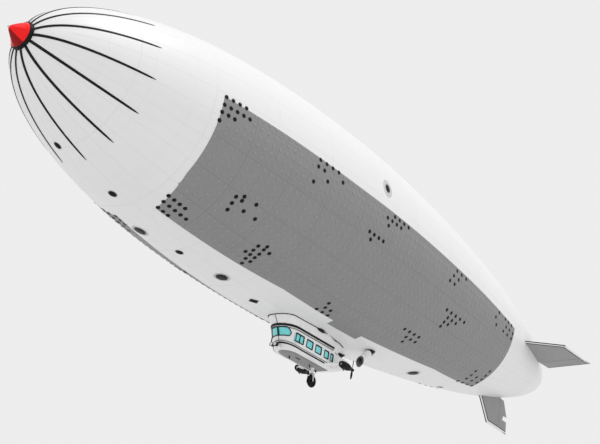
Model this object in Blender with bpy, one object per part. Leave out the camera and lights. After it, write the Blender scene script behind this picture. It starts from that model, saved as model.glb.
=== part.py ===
"""A passenger airship of the single-envelope kind, at half its real size.

Frame: +X towards the nose, +Y to port, +Z up, in metres. The origin is on the envelope's axis at its centre
of lift, which is where the air holds it up. Run it with blender --background --python part.py.
"""

import math

import bmesh
import bpy
from mathutils import Vector

# Driving dimensions, metres at half size
HULL_LENGTH = 29.25
HULL_RADIUS = 3.50
NOSE_X = 13.30
SKIN = 0.010
GAP = 0.0003
CLEAR = 0.008

# The hull's outline: how far back it is widest, and how full its nose and tail are
WIDEST = 0.43
NOSE_POWER, NOSE_FULLNESS = 2.439, 0.498
TAIL_POWER, TAIL_FULLNESS = 1.642, 0.577
HULL_SIDES = 45
HULL_RINGS = 22
TOP_ANGLE = 90.0

# Nose cone, its battens and the mooring spindle
CONE_LENGTH = 0.45
CONE_RADIUS = 0.39
CONE_RIM_X = 13.34
CONE_DOME = 1.25
CONE_STEPS = 6
SPINDLE_RADIUS = 0.030
SPINDLE_REACH = 0.04
SPINDLE_CHAMFER = 0.006
SPINDLE_DEPTH = 0.16
SPINDLE_SIDES = 20
BATTENS = 14
FIRST_BATTEN_ANGLE = 96.0
BATTEN_REACH = 3.00
BATTEN_ROOT_RADIUS = 0.415
BATTEN_WIDTH = 0.085
BATTEN_DEPTH = 0.016
BATTEN_TAPER = 0.5
BATTEN_TOP_SHARE = 0.7
BAND_RADIUS = 0.435
BAND_CHAMFER = 0.020

# Light-sign panels: x and the angles of the lower and upper edges, 0 at the side and -90 below
SIGN_DEPTH = 0.006
SIGN_WEDGE = (1.2, 5.2)
SIGN_OUTLINE = (
    # x, lower edge, upper edge
    (8.15, -45.0, 5.0),
    (7.90, -74.0, 4.8),
    (4.50, -71.0, 3.6),
    (2.40, -68.5, 3.0),
    (-0.35, -69.5, 2.8),
    (-0.35, -73.5, 2.8),
    (-2.00, -74.0, 2.6),
    (-2.00, -69.5, 2.6),
    (-6.65, -68.0, 1.8),
    (-8.60, -71.0, 0.8),
    (-9.85, -72.0, 0.0),
)

# Gas valves: x, angle round the hull, radius
VALVES = (
    (7.15, -100.0, 0.20),
    (4.10, -87.0, 0.20),
    (-6.35, -82.0, 0.20),
    (0.55, 15.0, 0.16),
)
VALVE_HEIGHT = 0.03
VALVE_SIDES = 16
VALVE_PROFILE = (
    # height above the skin, share of the radius
    (-0.06, 1.0),
    (VALVE_HEIGHT * 0.5, 1.0),
    (VALVE_HEIGHT, 0.7),
)

# Tail fins and their moving surfaces, each in its own plane: points are x and distance from the hull's axis.
# The top fin is low behind the hull's crown, and the two side fins are the largest.
FIN_HALF_THICK_ROOT = 0.060
FIN_HALF_THICK_TIP = 0.032
FIN_BURIED = 1.20
FIN_ROOT, FIN_TIP = 1.50, 3.50
SURFACE_EDGE_HALF = 0.007
HINGE_SHARE = 0.8
FIN_SECTION = (
    # share of the chord from the front, share of the half thickness
    (0.0, 0.0),
    (0.02, 0.45),
    (0.07, 0.85),
    (0.25, 1.0),
    (1.0, HINGE_SHARE),
)
HINGE_TURNS = (-90, -45, 0, 45, 90)
SIDE_FIN = ((-11.20, 2.10), (-12.00, 3.50), (-14.12, 3.54), (-14.22, 2.40), (-14.29, 1.53), -13.50, 1.55)
FINS = (
    # fixed fin, moving surface, angle round the hull,
    # then front root, front tip, back tip, back bend, back root, hinge x, and where the surface starts
    ("fin_top", "rudder_top", 90.0,
     ((-11.70, 2.10), (-12.37, 2.93), (-13.90, 2.52), (-13.86, 2.10), (-13.62, 1.62), -13.28, 1.64)),
    ("fin_bottom", "rudder_bottom", -90.0,
     ((-11.70, 2.10), (-12.37, 2.93), (-13.93, 2.97), (-13.89, 2.24), (-13.55, 1.62), -13.28, 1.64)),
    ("fin_port", "elevator_port", 0.0, SIDE_FIN),
    ("fin_starboard", "elevator_starboard", 180.0, SIDE_FIN),
)
# The bottom rudder's notch beside its trim tab: x and distance from the axis
TAB_NOTCH_HALF = 0.10
TAB_NOTCH = ((-14.00, 2.26), (-13.62, 2.25), (-13.54, 2.46), (-13.80, 2.46), (-14.00, 2.48))

# Cabin: upright sides to the knee, then in to the chine. The bow falls back going down.
CABIN_HALF = 0.535
WALL = 0.015
BOW_X, BOW_Z, BOW_RAKE = 0.905, -3.965, 0.43
BOW_DEPTH = 0.50
BOW_STEPS = 6
CABIN_TOP = -3.815
KNEE_Z = -4.480
KNEE_RISE = 0.110
KNEE_LIFT = 0.011
CHINE_Z = -4.535
CHINE_HALF = 0.350
CHINE_BACK = 0.100
CHINE_EDGE = 0.053
NOSE_JOINT_X = 0.060
CABIN_REAR_X = -1.550
BELLY_LEVELS = (
    # z, half width, how far the bow falls back, rear x
    (-4.560, 0.310, 0.140, -1.530),
    (-4.575, 0.200, 0.240, -1.440),
)
TAIL_SECTIONS = (
    # x, half width, top, bottom
    (-1.5503, 0.520, -3.8300, -4.530),
    (-2.050, 0.400, -3.830, -4.400),
    (-2.760, 0.220, -3.770, -4.100),
)
# Fairing between the cabin and the hull
FAIRING_HALF = 0.555
FAIRING_BELT_Z = -3.745
FAIRING_BOW_X = 1.220
FAIRING_MEETS_Z = -3.470
FAIRING_INSIDE_Z = -3.300
FAIRING_SIDES = (
    # x and half width where it meets the cabin, x and half width where it meets the hull
    (-0.350, 0.555, -0.350, 0.558),
    (-0.950, 0.555, -0.950, 0.510),
    (-1.440, 0.555, -1.550, 0.410),
    (-1.600, 0.430, -1.850, 0.335),
    (-1.960, 0.330, -2.280, 0.190),
)
# Dark vents on the fairing's top edge: the middle of the flat back, then half length, reach and half height
VENT_X, VENT_Y, VENT_Z = -0.640, 0.560, -3.450
VENT_HALF = (0.250, 0.070, 0.065)
VENT_TURNS = (-90, -60, -30, 0, 30, 60, 90)
VENT_SECTIONS = (
    # share of the half length ahead, share of the section
    (1.0, 0.25),
    (0.55, 0.9),
    (0.0, 1.0),
    (-1.0, 0.12),
)
# Windows: front x, rear x, top, bottom
COCKPIT_WINDOW = (0.550, 0.140, -3.975, -4.250)
SIDE_WINDOWS = (
    (-0.025, -0.355, -3.985, -4.250),
    (-0.505, -0.830, -3.995, -4.255),
    (-1.000, -1.235, -4.005, -4.260),
    (-1.340, -1.490, -4.015, -4.262),
)
WINDSHIELD_OUTLINE = (
    # x, z
    (1.300, -3.850),
    (0.850, -3.850),
    (0.765, -3.920),
    (0.690, -4.030),
    (0.705, -4.125),
    (1.300, -4.125),
)
POST_HALF = 0.012
GLASS = 0.004
GLASS_TOP, GLASS_BOTTOM = -3.830, -4.300
DOOR_FRONT_X, DOOR_REAR_X = -0.430, -0.880
DOOR_TOP, DOOR_BOTTOM = -3.900, -4.470
DOOR_GAP = 0.006
DOOR_WINDOW = 1
# The glass laps the openings' edges, and is held inside the wall's ends
GLASS_LAP = 0.020
DOOR_GLASS_BACK = 0.012
GLASS_END = 0.005
# How far from the middle a cutter through a side starts and ends
CUT_START, CUT_END = 0.30, 0.80
TAIL_BEVEL = 0.25

# Rails round the cabin, above and below its windows
RAILS = (
    # name, z of the middle, half height, stands out, half width, rise at the bow, port and starboard rear x
    ("upper_rail", -3.790, 0.034, 0.022, 0.555, 0.0, -1.440, -1.440),
    ("lower_rail", -4.455, 0.022, 0.020, 0.535, 0.110, -1.070, -0.400),
)

# Engines on their outriggers
NACELLE_X = (-1.40, -1.45, -1.56, -1.79, -1.98)
NACELLE_RADII = (0.080, 0.115, 0.137, 0.126, 0.070)
NACELLE_SIDES = 20
NACELLE_Y, NACELLE_Z = 0.97, -4.37
NACELLE_WALL = 0.008
ENGINE_RADIUS = 0.090
ENGINE_FRONT_SHARE = 0.7
ENGINE_SHOULDER = 0.040
MOUNT_RING_HALF = 0.012
ENGINE_END = 0.060
ENGINE_END_RADIUS = 0.040
PROPELLER_X = -2.075
PROPELLER_RADIUS = 0.34
HUB_SIDES = 16
HUB_PROFILE = (
    # ahead of the blades, radius
    (0.075, 0.0),
    (0.075, 0.055),
    (-0.030, 0.055),
    (-0.075, 0.035),
    (-0.100, 0.0),
)
BLADE_SECTIONS = (
    # distance from the shaft, chord, thickness, twist in degrees
    (0.030, 0.050, 0.026, 50.0),
    (0.120, 0.072, 0.016, 38.0),
    (0.250, 0.066, 0.010, 24.0),
    (PROPELLER_RADIUS, 0.036, 0.005, 16.0),
)
BLADE_CORNERS = (
    # share of the chord, share of the thickness
    (0.50, 0.0),
    (0.15, 0.5),
    (-0.50, 0.0),
    (0.15, -0.5),
)
OUTRIGGER_ENDS = (
    # y, front x, rear x, z
    (0.5353, -1.10, -1.42, -4.435),
    (0.9500, -1.42, -1.72, -4.370),
)
OUTRIGGER_HALF = 0.024
OUTRIGGER_SECTION = (
    # share of the chord from the front, share of the half thickness
    (0.0, 0.0),
    (0.08, 0.7),
    (0.30, 1.0),
    (0.70, 0.75),
    (1.0, 0.0),
)

# Air scoops under the tail half
SCOOP_MOUTH = (-2.603, 0.80, -3.879)
SCOOP_TOP = (-3.460, 0.64, -3.070)
SCOOP_RADIUS = 0.145
SCOOP_WALL = 0.010
SCOOP_SIDES = 20

# Landing wheel on a castor
CASTOR_X = -1.145
AXLE_X = -1.194
AXLE_Z = -5.020
TYRE_RADIUS = 0.220
TYRE_HALF_WIDTH = 0.048
RIM_RADIUS = 0.120
WHEEL_SIDES = 28
CROWN_BOTTOM = AXLE_Z + TYRE_RADIUS + 0.020
LEG_BOTTOM = CROWN_BOTTOM + 0.034
LEG_RADIUS = 0.050
PIN_RADIUS = 0.018
PIN_CLEAR = 0.002
BLADE_INNER = 0.060
BLADE_OUTER = 0.073
AXLE_RADIUS = 0.013
AXLE_OVERHANG = 0.010
LEG_SIDES = 24
AXLE_SIDES = 16
LEG_FLANGE = 0.020
LEG_FLANGE_DEPTH = 0.010
CROWN_RADIUS = 0.055
CROWN_OVERHANG = 0.030
FORK_FOOT_HALF = 0.022
RIM_PROFILE = (
    # distance from the wheel's middle plane, radius
    (-0.050, AXLE_RADIUS + PIN_CLEAR),
    (-0.050, 0.032),
    (-0.018, 0.040),
    (-0.018, 0.085),
    (-0.038, RIM_RADIUS - GAP),
    (0.038, RIM_RADIUS - GAP),
    (0.018, 0.085),
    (0.018, 0.040),
    (0.050, 0.032),
    (0.050, AXLE_RADIUS + PIN_CLEAR),
)
BEAD_HALF = 0.036
TYRE_STEPS = 8
# The tyre's round runs a little past a half turn on each side
TYRE_TURN = 1.3

# Seats and controls seen through the glass: front x of each row
SEAT_ROWS = (0.17, -0.28, -0.74, -1.16)
SEAT_BASE_Z = CHINE_Z
SEAT_HALF = 0.120
SEAT_Y = 0.170
SEAT_OUTLINE = (
    # ahead of the row's front x, height above the floor
    (-0.030, 0.00),
    (-0.030, 0.13),
    (0.000, 0.14),
    (0.000, 0.20),
    (-0.200, 0.19),
    (-0.250, 0.50),
    (-0.290, 0.50),
    (-0.260, 0.00),
)
SEAT_BAR = (-0.060, -0.120, 0.040)
PANEL_HALF = 0.160
PANEL_OUTLINE = (
    # x, height above the floor
    (0.28, 0.00),
    (0.28, 0.24),
    (0.30, 0.30),
    (0.42, 0.32),
    (0.40, 0.16),
    (0.36, 0.00),
)

# Landing lamps under the bow
LAMP_X, LAMP_Y, LAMP_Z = 1.030, 0.080, -4.490
LAMP_RADIUS = 0.075
LAMP_LENGTH = 0.170
LAMP_SIDES = 16
LAMP_BARREL = (
    # share of the length back from the lens, share of the radius
    (1.0, 0.0),
    (1.0, 0.5),
    (0.6, 0.92),
    (0.0, 1.0),
    (0.0, 0.0),
)
LAMP_BRACKET = (
    # x, half width, top and bottom above the lamps' axis
    (0.97, 0.100, 0.040, -0.040),
    (0.50, 0.050, 0.020, -0.020),
)


def clear_scene():
    """Empties the scene of what a new file holds."""
    for thing in list(bpy.data.objects):
        bpy.data.objects.remove(thing)


def paint(name, colour, roughness=0.5, metallic=0.0):
    """A Principled material of one colour, made once."""
    made = bpy.data.materials.get(name)
    if made:
        return made
    made = bpy.data.materials.new(name)
    made.use_nodes = True
    shader = made.node_tree.nodes["Principled BSDF"]
    shader.inputs["Base Color"].default_value = (*colour, 1.0)
    shader.inputs["Roughness"].default_value = roughness
    shader.inputs["Metallic"].default_value = metallic
    made.diffuse_color = (*colour, 1.0)
    return made


def envelope_cloth():
    return paint("envelope_cloth", (0.86, 0.86, 0.86), 0.45)


def grey_paint():
    return paint("grey_paint", (0.30, 0.30, 0.30), 0.5)


def white_paint():
    return paint("white_paint", (0.88, 0.88, 0.88), 0.35)


def black_paint():
    return paint("black_paint", (0.02, 0.02, 0.02), 0.4)


def red_paint():
    return paint("red_paint", (0.80, 0.01, 0.01), 0.35)


def tinted_glass():
    return paint("tinted_glass", (0.25, 0.85, 0.90), 0.08)


def dark_rubber():
    return paint("dark_rubber", (0.015, 0.015, 0.015), 0.8)


def dull_metal():
    return paint("dull_metal", (0.45, 0.45, 0.46), 0.35, 0.9)


def seat_fabric():
    return paint("seat_fabric", (0.10, 0.12, 0.16), 0.9)


def solid(name, points, faces, finish, origin=(0.0, 0.0, 0.0), parent=None):
    """A closed mesh given in world metres, with its origin where it turns or stands."""
    mesh = bpy.data.meshes.new(name)
    base = Vector(origin)
    mesh.from_pydata([Vector(point) - base for point in points], [], faces)
    shape = bmesh.new()
    shape.from_mesh(mesh)
    bmesh.ops.recalc_face_normals(shape, faces=shape.faces)
    shape.to_mesh(mesh)
    shape.free()
    mesh.shade_smooth()
    mesh.set_sharp_from_angle(angle=math.radians(32))
    mesh.materials.append(finish)
    made = bpy.data.objects.new(name, mesh)
    bpy.context.scene.collection.objects.link(made)
    made.location = base
    if parent:
        carry(made, parent)
    return made


def carry(piece, parent):
    """Makes the piece ride on its parent without moving it. Parents here are never turned."""
    place = Vector(parent.location)
    above = parent.parent
    while above:
        place += above.location
        above = above.parent
    piece.parent = parent
    piece.location = Vector(piece.location) - place


def hidden(cutter):
    """Marks a helper, which is not a piece of the airship."""
    cutter.hide_render = True
    cutter.display_type = "WIRE"
    return cutter


def combine(piece, helper, operation):
    """One exact Boolean against a helper, kept as a modifier."""
    change = piece.modifiers.new(helper.name, "BOOLEAN")
    change.operation = operation
    change.object = hidden(helper)
    change.solver = "EXACT"
    return piece


def cut(piece, helper):
    return combine(piece, helper, "DIFFERENCE")


def join(piece, helper):
    return combine(piece, helper, "UNION")


def on_axis(axis, along, across, up):
    """A point from its place along an axis and its two offsets from it."""
    if axis == "X":
        return (along, across, up)
    if axis == "Y":
        return (across, along, up)
    return (across, up, along)


def turned(name, profile, sides, finish, axis="X", centre=(0.0, 0.0, 0.0), origin=None, parent=None):
    """A body turned about a line through the centre. The profile holds (along, radius) pairs, and a pair at
    radius 0 closes an end. With no such pair at both ends the profile closes on itself, as a ring does."""
    points = []
    rings = []
    for along, radius in profile:
        if radius == 0:
            rings.append([len(points)] * sides)
            points.append(Vector(centre) + Vector(on_axis(axis, along, 0.0, 0.0)))
            continue
        rings.append([len(points) + side for side in range(sides)])
        for side in range(sides):
            angle = math.radians(TOP_ANGLE + 360.0 * side / sides)
            offset = on_axis(axis, along, radius * math.cos(angle), radius * math.sin(angle))
            points.append(Vector(centre) + Vector(offset))
    pairs = list(zip(rings, rings[1:]))
    if profile[0][1] > 0 or profile[-1][1] > 0:
        pairs.append((rings[-1], rings[0]))
    faces = []
    for first, second in pairs:
        for side in range(sides):
            after = (side + 1) % sides
            corners = [first[side], first[after], second[after], second[side]]
            faces.append(list(dict.fromkeys(corners)))
    return solid(name, points, faces, finish, origin or (0.0, 0.0, 0.0), parent)


def lofted(name, rings, finish, origin=(0.0, 0.0, 0.0), parent=None):
    """A body through closed rings of the same number of points, with flat ends."""
    count = len(rings[0])
    points = [point for ring in rings for point in ring]
    faces = [list(range(count)), list(range(len(points) - count, len(points)))]
    for level in range(len(rings) - 1):
        low = level * count
        for place in range(count):
            after = (place + 1) % count
            faces.append([low + place, low + after, low + count + after, low + count + place])
    return solid(name, points, faces, finish, origin, parent)


def block(name, corner, opposite, finish, origin=(0.0, 0.0, 0.0), parent=None):
    """A box between two corners."""
    low = [min(pair) for pair in zip(corner, opposite)]
    high = [max(pair) for pair in zip(corner, opposite)]
    rings = []
    for z in (low[2], high[2]):
        rings.append([(low[0], low[1], z), (high[0], low[1], z), (high[0], high[1], z), (low[0], high[1], z)])
    return lofted(name, rings, finish, origin, parent)


def slab(name, outline, low_y, high_y, finish, origin=(0.0, 0.0, 0.0), parent=None):
    """An outline of (x, z) points given thickness across the ship."""
    rings = [[(x, y, z) for x, z in outline] for y in (low_y, high_y)]
    return lofted(name, rings, finish, origin, parent)


def hull_radius(x):
    """The hull's outline radius at x."""
    share = min(max((NOSE_X - x) / HULL_LENGTH, 0.0), 1.0)
    if share < WIDEST:
        part = (WIDEST - share) / WIDEST
        return HULL_RADIUS * max(1.0 - part**NOSE_POWER, 0.0) ** NOSE_FULLNESS
    part = (share - WIDEST) / (1.0 - WIDEST)
    return HULL_RADIUS * max(1.0 - part**TAIL_POWER, 0.0) ** TAIL_FULLNESS


def hull_stations():
    """The x of each ring of the envelope, close together at both ends."""
    turns = [math.pi * ring / HULL_RINGS for ring in range(1, HULL_RINGS)]
    return [NOSE_X - HULL_LENGTH * (1.0 - math.cos(turn)) / 2.0 for turn in turns]


def faceted_radius(x):
    """The radius of the envelope's straight runs between its rings."""
    rings = [(NOSE_X, 0.0)] + [(at, hull_radius(at)) for at in hull_stations()]
    rings.append((NOSE_X - HULL_LENGTH, 0.0))
    for (front, near), (back, far) in zip(rings, rings[1:]):
        if back <= x <= front:
            return near + (far - near) * (front - x) / (front - back)
    return 0.0


def hull_profile(extra, opening):
    """The envelope's outline from the edge of its nose opening to its tail, pushed out by extra."""
    first = hull_stations()[0]
    slope = (NOSE_X - first) / hull_radius(first)
    profile = [(NOSE_X - slope * opening + extra, opening)]
    profile += [(x, hull_radius(x) + extra) for x in hull_stations()]
    profile.append((NOSE_X - HULL_LENGTH - extra, 0.0))
    return profile


def hull_cutter(name, extra=GAP):
    """The closed outside of the hull, to shape what lies against it."""
    profile = hull_profile(extra, SPINDLE_RADIUS)
    front = (profile[0][0], 0.0)
    return hidden(turned(name, [front] + profile, HULL_SIDES, envelope_cloth()))


def make_envelope(ship):
    """The gas envelope, a skin with a round opening at the nose that the mooring spindle fills."""
    opening = SPINDLE_RADIUS + GAP
    outer = hull_profile(0.0, opening)
    inner = hull_profile(-SKIN, opening)
    inner[-1] = (NOSE_X - HULL_LENGTH + SKIN, 0.0)
    turned("envelope", list(reversed(outer)) + inner, HULL_SIDES, envelope_cloth(), parent=ship)


def nose_x(radius):
    """The x of the envelope's blunt first facet at a radius."""
    first = hull_stations()[0]
    return NOSE_X - (NOSE_X - first) / hull_radius(first) * radius


def cone_profile():
    """The nose cone's outside, from the spindle's bore back to its rim, slightly domed."""
    bore = SPINDLE_RADIUS + GAP
    points = []
    for step in range(CONE_STEPS + 1):
        share = step / CONE_STEPS
        fall = (NOSE_X + CONE_LENGTH - CONE_RIM_X) * (1.0 - share**CONE_DOME)
        points.append((CONE_RIM_X + fall, bore + (CONE_RADIUS - bore) * share))
    return points


def make_nose(ship):
    """The cone over the nose, and the spindle that a mast holds the ship by."""
    bore = SPINDLE_RADIUS + GAP
    inner = [(nose_x(CONE_RADIUS) + GAP * 2, CONE_RADIUS), (nose_x(bore) + GAP * 2, bore)]
    turned("nose_cone", cone_profile() + inner, HULL_SIDES, red_paint(), parent=ship)
    front = NOSE_X + CONE_LENGTH + SPINDLE_REACH
    profile = [
        (NOSE_X - SPINDLE_DEPTH, 0.0),
        (NOSE_X - SPINDLE_DEPTH, SPINDLE_RADIUS),
        (front - SPINDLE_CHAMFER, SPINDLE_RADIUS),
        (front, SPINDLE_RADIUS - SPINDLE_CHAMFER),
        (front, 0.0),
    ]
    turned("mooring_spindle", profile, SPINDLE_SIDES, dull_metal(), parent=ship)


def make_battens(ship):
    """The band behind the cone and the battens that stiffen the nose, one body."""
    low = CONE_RADIUS + GAP
    band = [
        (CONE_RIM_X, low),
        (CONE_RIM_X - BAND_CHAMFER, BAND_RADIUS),
        (nose_x(BAND_RADIUS) + GAP * 3, BAND_RADIUS),
        (nose_x(low) + GAP * 3, low),
    ]
    ring = turned("nose_battens", band, HULL_SIDES, black_paint(), parent=ship)
    run = [(nose_x(BATTEN_ROOT_RADIUS), BATTEN_ROOT_RADIUS)]
    run += [(x, hull_radius(x)) for x in hull_stations() if x > NOSE_X - BATTEN_REACH]
    end = NOSE_X - BATTEN_REACH
    run.append((end, faceted_radius(end)))
    for number in range(BATTENS):
        angle = math.radians(FIRST_BATTEN_ANGLE + 360.0 * number / BATTENS)
        join(ring, batten(f"batten_{number}", run, angle))


def lifted(run, place, lift):
    """A point of a run of (x, radius) points, moved off the hull so that both facets beside it clear."""
    before, after = run[max(place - 1, 0)], run[min(place + 1, len(run) - 1)]
    here = Vector(run[place])
    sides = [(here - Vector(before)), (Vector(after) - here)]
    normals = [Vector((-side.y, side.x)).normalized() for side in sides if side.length > 0]
    normals = [normal if normal.y > 0 else -normal for normal in normals]
    middle = (normals[0] + normals[-1]).normalized()
    return here + middle * lift / middle.dot(normals[0])


def batten(name, run, angle):
    """One batten along the hull, narrowing to its rear end."""
    outward = Vector((0.0, math.cos(angle), math.sin(angle)))
    aside = Vector((0.0, -math.sin(angle), math.cos(angle)))
    ahead = Vector((1.0, 0.0, 0.0))
    rings = []
    for place, (x, _) in enumerate(run):
        share = (run[0][0] - x) / (run[0][0] - run[-1][0])
        half = BATTEN_WIDTH / 2.0 * (1.0 - BATTEN_TAPER * share)
        low = lifted(run, place, GAP * 2)
        high = lifted(run, place, GAP * 2 + BATTEN_DEPTH * (1.0 - BATTEN_TAPER * share))
        top_half = half * BATTEN_TOP_SHARE
        corners = ((low, -half), (high, -top_half), (high, top_half), (low, half))
        rings.append([ahead * at.x + outward * at.y + aside * side for at, side in corners])
    return lofted(name, rings, black_paint())


def make_sign(name, side, ship):
    """A light-sign panel that lies on the hull, cut from a thin shell by a wedge of its outline."""
    front, back = SIGN_OUTLINE[0][0], SIGN_OUTLINE[-1][0]
    inside = [x for x in hull_stations() if back - 1.5 < x < front + 1.5]
    outer = [(x, hull_radius(x) + SIGN_DEPTH) for x in inside]
    inner = [(x, hull_radius(x) + GAP * 4) for x in inside]
    panel = turned(name, outer + list(reversed(inner)), HULL_SIDES, grey_paint(), parent=ship)
    edge = [(x, upper) for x, _, upper in SIGN_OUTLINE]
    edge += [(x, lower) for x, lower, _ in reversed(SIGN_OUTLINE)]
    edge = [point for place, point in enumerate(edge) if place == 0 or point != edge[place - 1]]
    rings = []
    for reach in SIGN_WEDGE:
        ring = []
        for x, degrees in edge:
            turn = math.radians(degrees)
            ring.append((x, side * reach * math.cos(turn), reach * math.sin(turn)))
        rings.append(ring)
    return combine(panel, lofted(name + "_outline", rings, grey_paint()), "INTERSECT")


def make_valves(ship):
    """The round gas valves, each a low disc on the skin."""
    for number, (x, degrees, radius) in enumerate(VALVES, start=1):
        turn = math.radians(degrees)
        outward = Vector((0.0, math.cos(turn), math.sin(turn)))
        slope = (hull_radius(x - radius) - hull_radius(x + radius)) / (2.0 * radius)
        normal = (outward + Vector((slope, 0.0, 0.0))).normalized()
        centre = Vector((x, 0.0, 0.0)) + outward * hull_radius(x)
        side = normal.cross(Vector((1.0, 0.0, 0.0))).normalized()
        ahead = side.cross(normal)
        rings = []
        for rise, share in VALVE_PROFILE:
            ring = []
            for step in range(VALVE_SIDES):
                angle = 2.0 * math.pi * step / VALVE_SIDES
                spread = ahead * math.cos(angle) + side * math.sin(angle)
                ring.append(centre + normal * rise + spread * radius * share)
            rings.append(ring)
        valve = lofted(f"gas_valve_{number}", rings, black_paint(), parent=ship)
        cut(valve, hull_cutter(f"valve_bed_{number}"))


def fin_half_thickness(reach):
    """Half a fin's thickness at a distance from the hull's axis."""
    share = (reach - FIN_ROOT) / (FIN_TIP - FIN_ROOT)
    return FIN_HALF_THICK_ROOT + (FIN_HALF_THICK_TIP - FIN_HALF_THICK_ROOT) * share


def along(start, end, share):
    """A point part of the way from one point to another."""
    return tuple(first + (last - first) * share for first, last in zip(start, end))


def at_x(start, end, x):
    """The distance from the axis of a straight edge at an x."""
    return along(start, end, (x - start[0]) / (end[0] - start[0]))[1]


def at_reach(start, end, reach):
    """The x of a straight edge at a distance from the axis."""
    return along(start, end, (reach - start[1]) / (end[1] - start[1]))[0]


def in_fin_plane(turn, x, reach, out):
    """A world point from x, distance from the axis, and distance out of the fin's plane."""
    outward = Vector((0.0, math.cos(turn), math.sin(turn)))
    aside = Vector((0.0, -math.sin(turn), math.cos(turn)))
    return Vector((x, 0.0, 0.0)) + outward * reach + aside * out


def fin_section(turn, front, rear):
    """A fin's closed section between its front and rear points, round in front and square at the rear."""
    sides = []
    for side in (1, -1):
        points = []
        for share, part in FIN_SECTION:
            x, reach = along(front, rear, share)
            points.append(in_fin_plane(turn, x, reach, side * fin_half_thickness(reach) * part))
        sides.append(points)
    return sides[0] + list(reversed(sides[1][1:]))


def hinge_radius(reach):
    """Radius of a moving surface's round front edge."""
    return fin_half_thickness(reach) * HINGE_SHARE


def make_fin(name, turn, shape, ship):
    """A fixed fin, whose square rear edge stands just ahead of its moving surface."""
    front_root, front_tip, back_tip, _, _, hinge_x, _ = shape
    rear_x = hinge_x + FIN_HALF_THICK_ROOT * HINGE_SHARE + CLEAR
    rings = [
        fin_section(turn, (at_reach(front_root, front_tip, FIN_BURIED), FIN_BURIED), (rear_x, FIN_BURIED)),
        fin_section(turn, front_tip, (rear_x, at_x(front_tip, back_tip, rear_x))),
    ]
    fin = lofted(name, rings, grey_paint(), parent=ship)
    cut(fin, hull_cutter(name + "_bed"))


def make_surface(name, turn, shape, ship):
    """A rudder or elevator, half round about its hinge and thin behind, whose origin is on its hinge."""
    _, front_tip, back_tip, back_bend, back_root, hinge_x, root = shape
    tip = at_x(front_tip, back_tip, hinge_x)
    bend = along((root, 0.0), (tip, 0.0), (back_bend[1] - back_root[1]) / (back_tip[1] - back_root[1]))[0]
    rings = []
    for reach, back in ((root, back_root), (bend, back_bend), (tip, back_tip)):
        radius = hinge_radius(reach)
        ring = []
        for degrees in HINGE_TURNS:
            angle = math.radians(degrees)
            x = hinge_x + radius * math.cos(angle)
            ring.append(in_fin_plane(turn, x, reach, radius * math.sin(angle)))
        ring.append(in_fin_plane(turn, back[0], back[1], SURFACE_EDGE_HALF))
        ring.append(in_fin_plane(turn, back[0], back[1], -SURFACE_EDGE_HALF))
        rings.append(ring)
    middle = in_fin_plane(turn, hinge_x, (root + tip) / 2.0, 0.0)
    return lofted(name, rings, grey_paint(), origin=middle, parent=ship)


def make_tail(ship):
    """The four fins with their moving surfaces. A notch beside a trim tab is cut from the bottom rudder."""
    for fin_name, surface_name, degrees, shape in FINS:
        turn = math.radians(degrees)
        make_fin(fin_name, turn, shape, ship)
        surface = make_surface(surface_name, turn, shape, ship)
        if surface_name == "rudder_bottom":
            rings = []
            for out in (-TAB_NOTCH_HALF, TAB_NOTCH_HALF):
                rings.append([in_fin_plane(turn, x, reach, out) for x, reach in TAB_NOTCH])
            cut(surface, lofted("tab_notch", rings, grey_paint()))


def bow_x(z):
    """The x of the cabin's bow at a height."""
    return BOW_X + BOW_RAKE * (z - BOW_Z)


def bow_arc(front, z, half, depth, rise=0.0):
    """Points round a bow from port to starboard. A rise lifts it ahead, and the rake moves it with that."""
    points = []
    for step in range(2 * BOW_STEPS + 1):
        angle = math.pi / 2.0 * (1.0 - step / BOW_STEPS)
        ahead = math.cos(angle)
        lift = rise * ahead**1.5
        points.append((front - depth * (1.0 - ahead) + BOW_RAKE * lift, half * math.sin(angle), z + lift))
    return points


def plan(z, half, rear, back=0.0, rise=0.0, starboard_rear=None):
    """The cabin's plan at a height, from the port rear round the bow to the starboard rear."""
    last = rear if starboard_rear is None else starboard_rear
    arc = bow_arc(bow_x(z) - back, z, half, BOW_DEPTH - back, rise)
    return [(rear, half, z)] + arc + [(last, -half, z)]


def bow_band(name, levels, rear, finish, parent, starboard_rear=None):
    """A wall that runs round the bow through closed levels: z, half width, how far back, rise at the bow."""
    rings = [plan(z, half, rear, back, rise, starboard_rear) for z, half, back, rise in levels]
    count = len(rings[0])
    total = len(rings)
    points = [point for ring in rings for point in ring]
    faces = []
    for level in range(total):
        low, high = level * count, ((level + 1) % total) * count
        for place in range(count - 1):
            faces.append([low + place, low + place + 1, high + place + 1, high + place])
    faces.append([level * count for level in range(total)])
    faces.append([level * count + count - 1 for level in range(total)])
    return solid(name, points, faces, finish, parent=parent)


def shell_levels(out=0.0):
    """The cockpit shell's levels, down its outer face and up its inner one."""
    inner = CABIN_HALF - WALL
    return [
        (CABIN_TOP, CABIN_HALF + out, -out, 0.0),
        (KNEE_Z, CABIN_HALF + out, -out, KNEE_RISE),
        (CHINE_Z, CHINE_HALF + out, CHINE_BACK - out, 0.0),
        (CHINE_Z, CHINE_HALF - CHINE_EDGE, CHINE_BACK + CHINE_EDGE, 0.0),
        (KNEE_Z + KNEE_LIFT, inner, WALL, KNEE_RISE),
        (CABIN_TOP, inner, WALL, 0.0),
    ]


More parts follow.
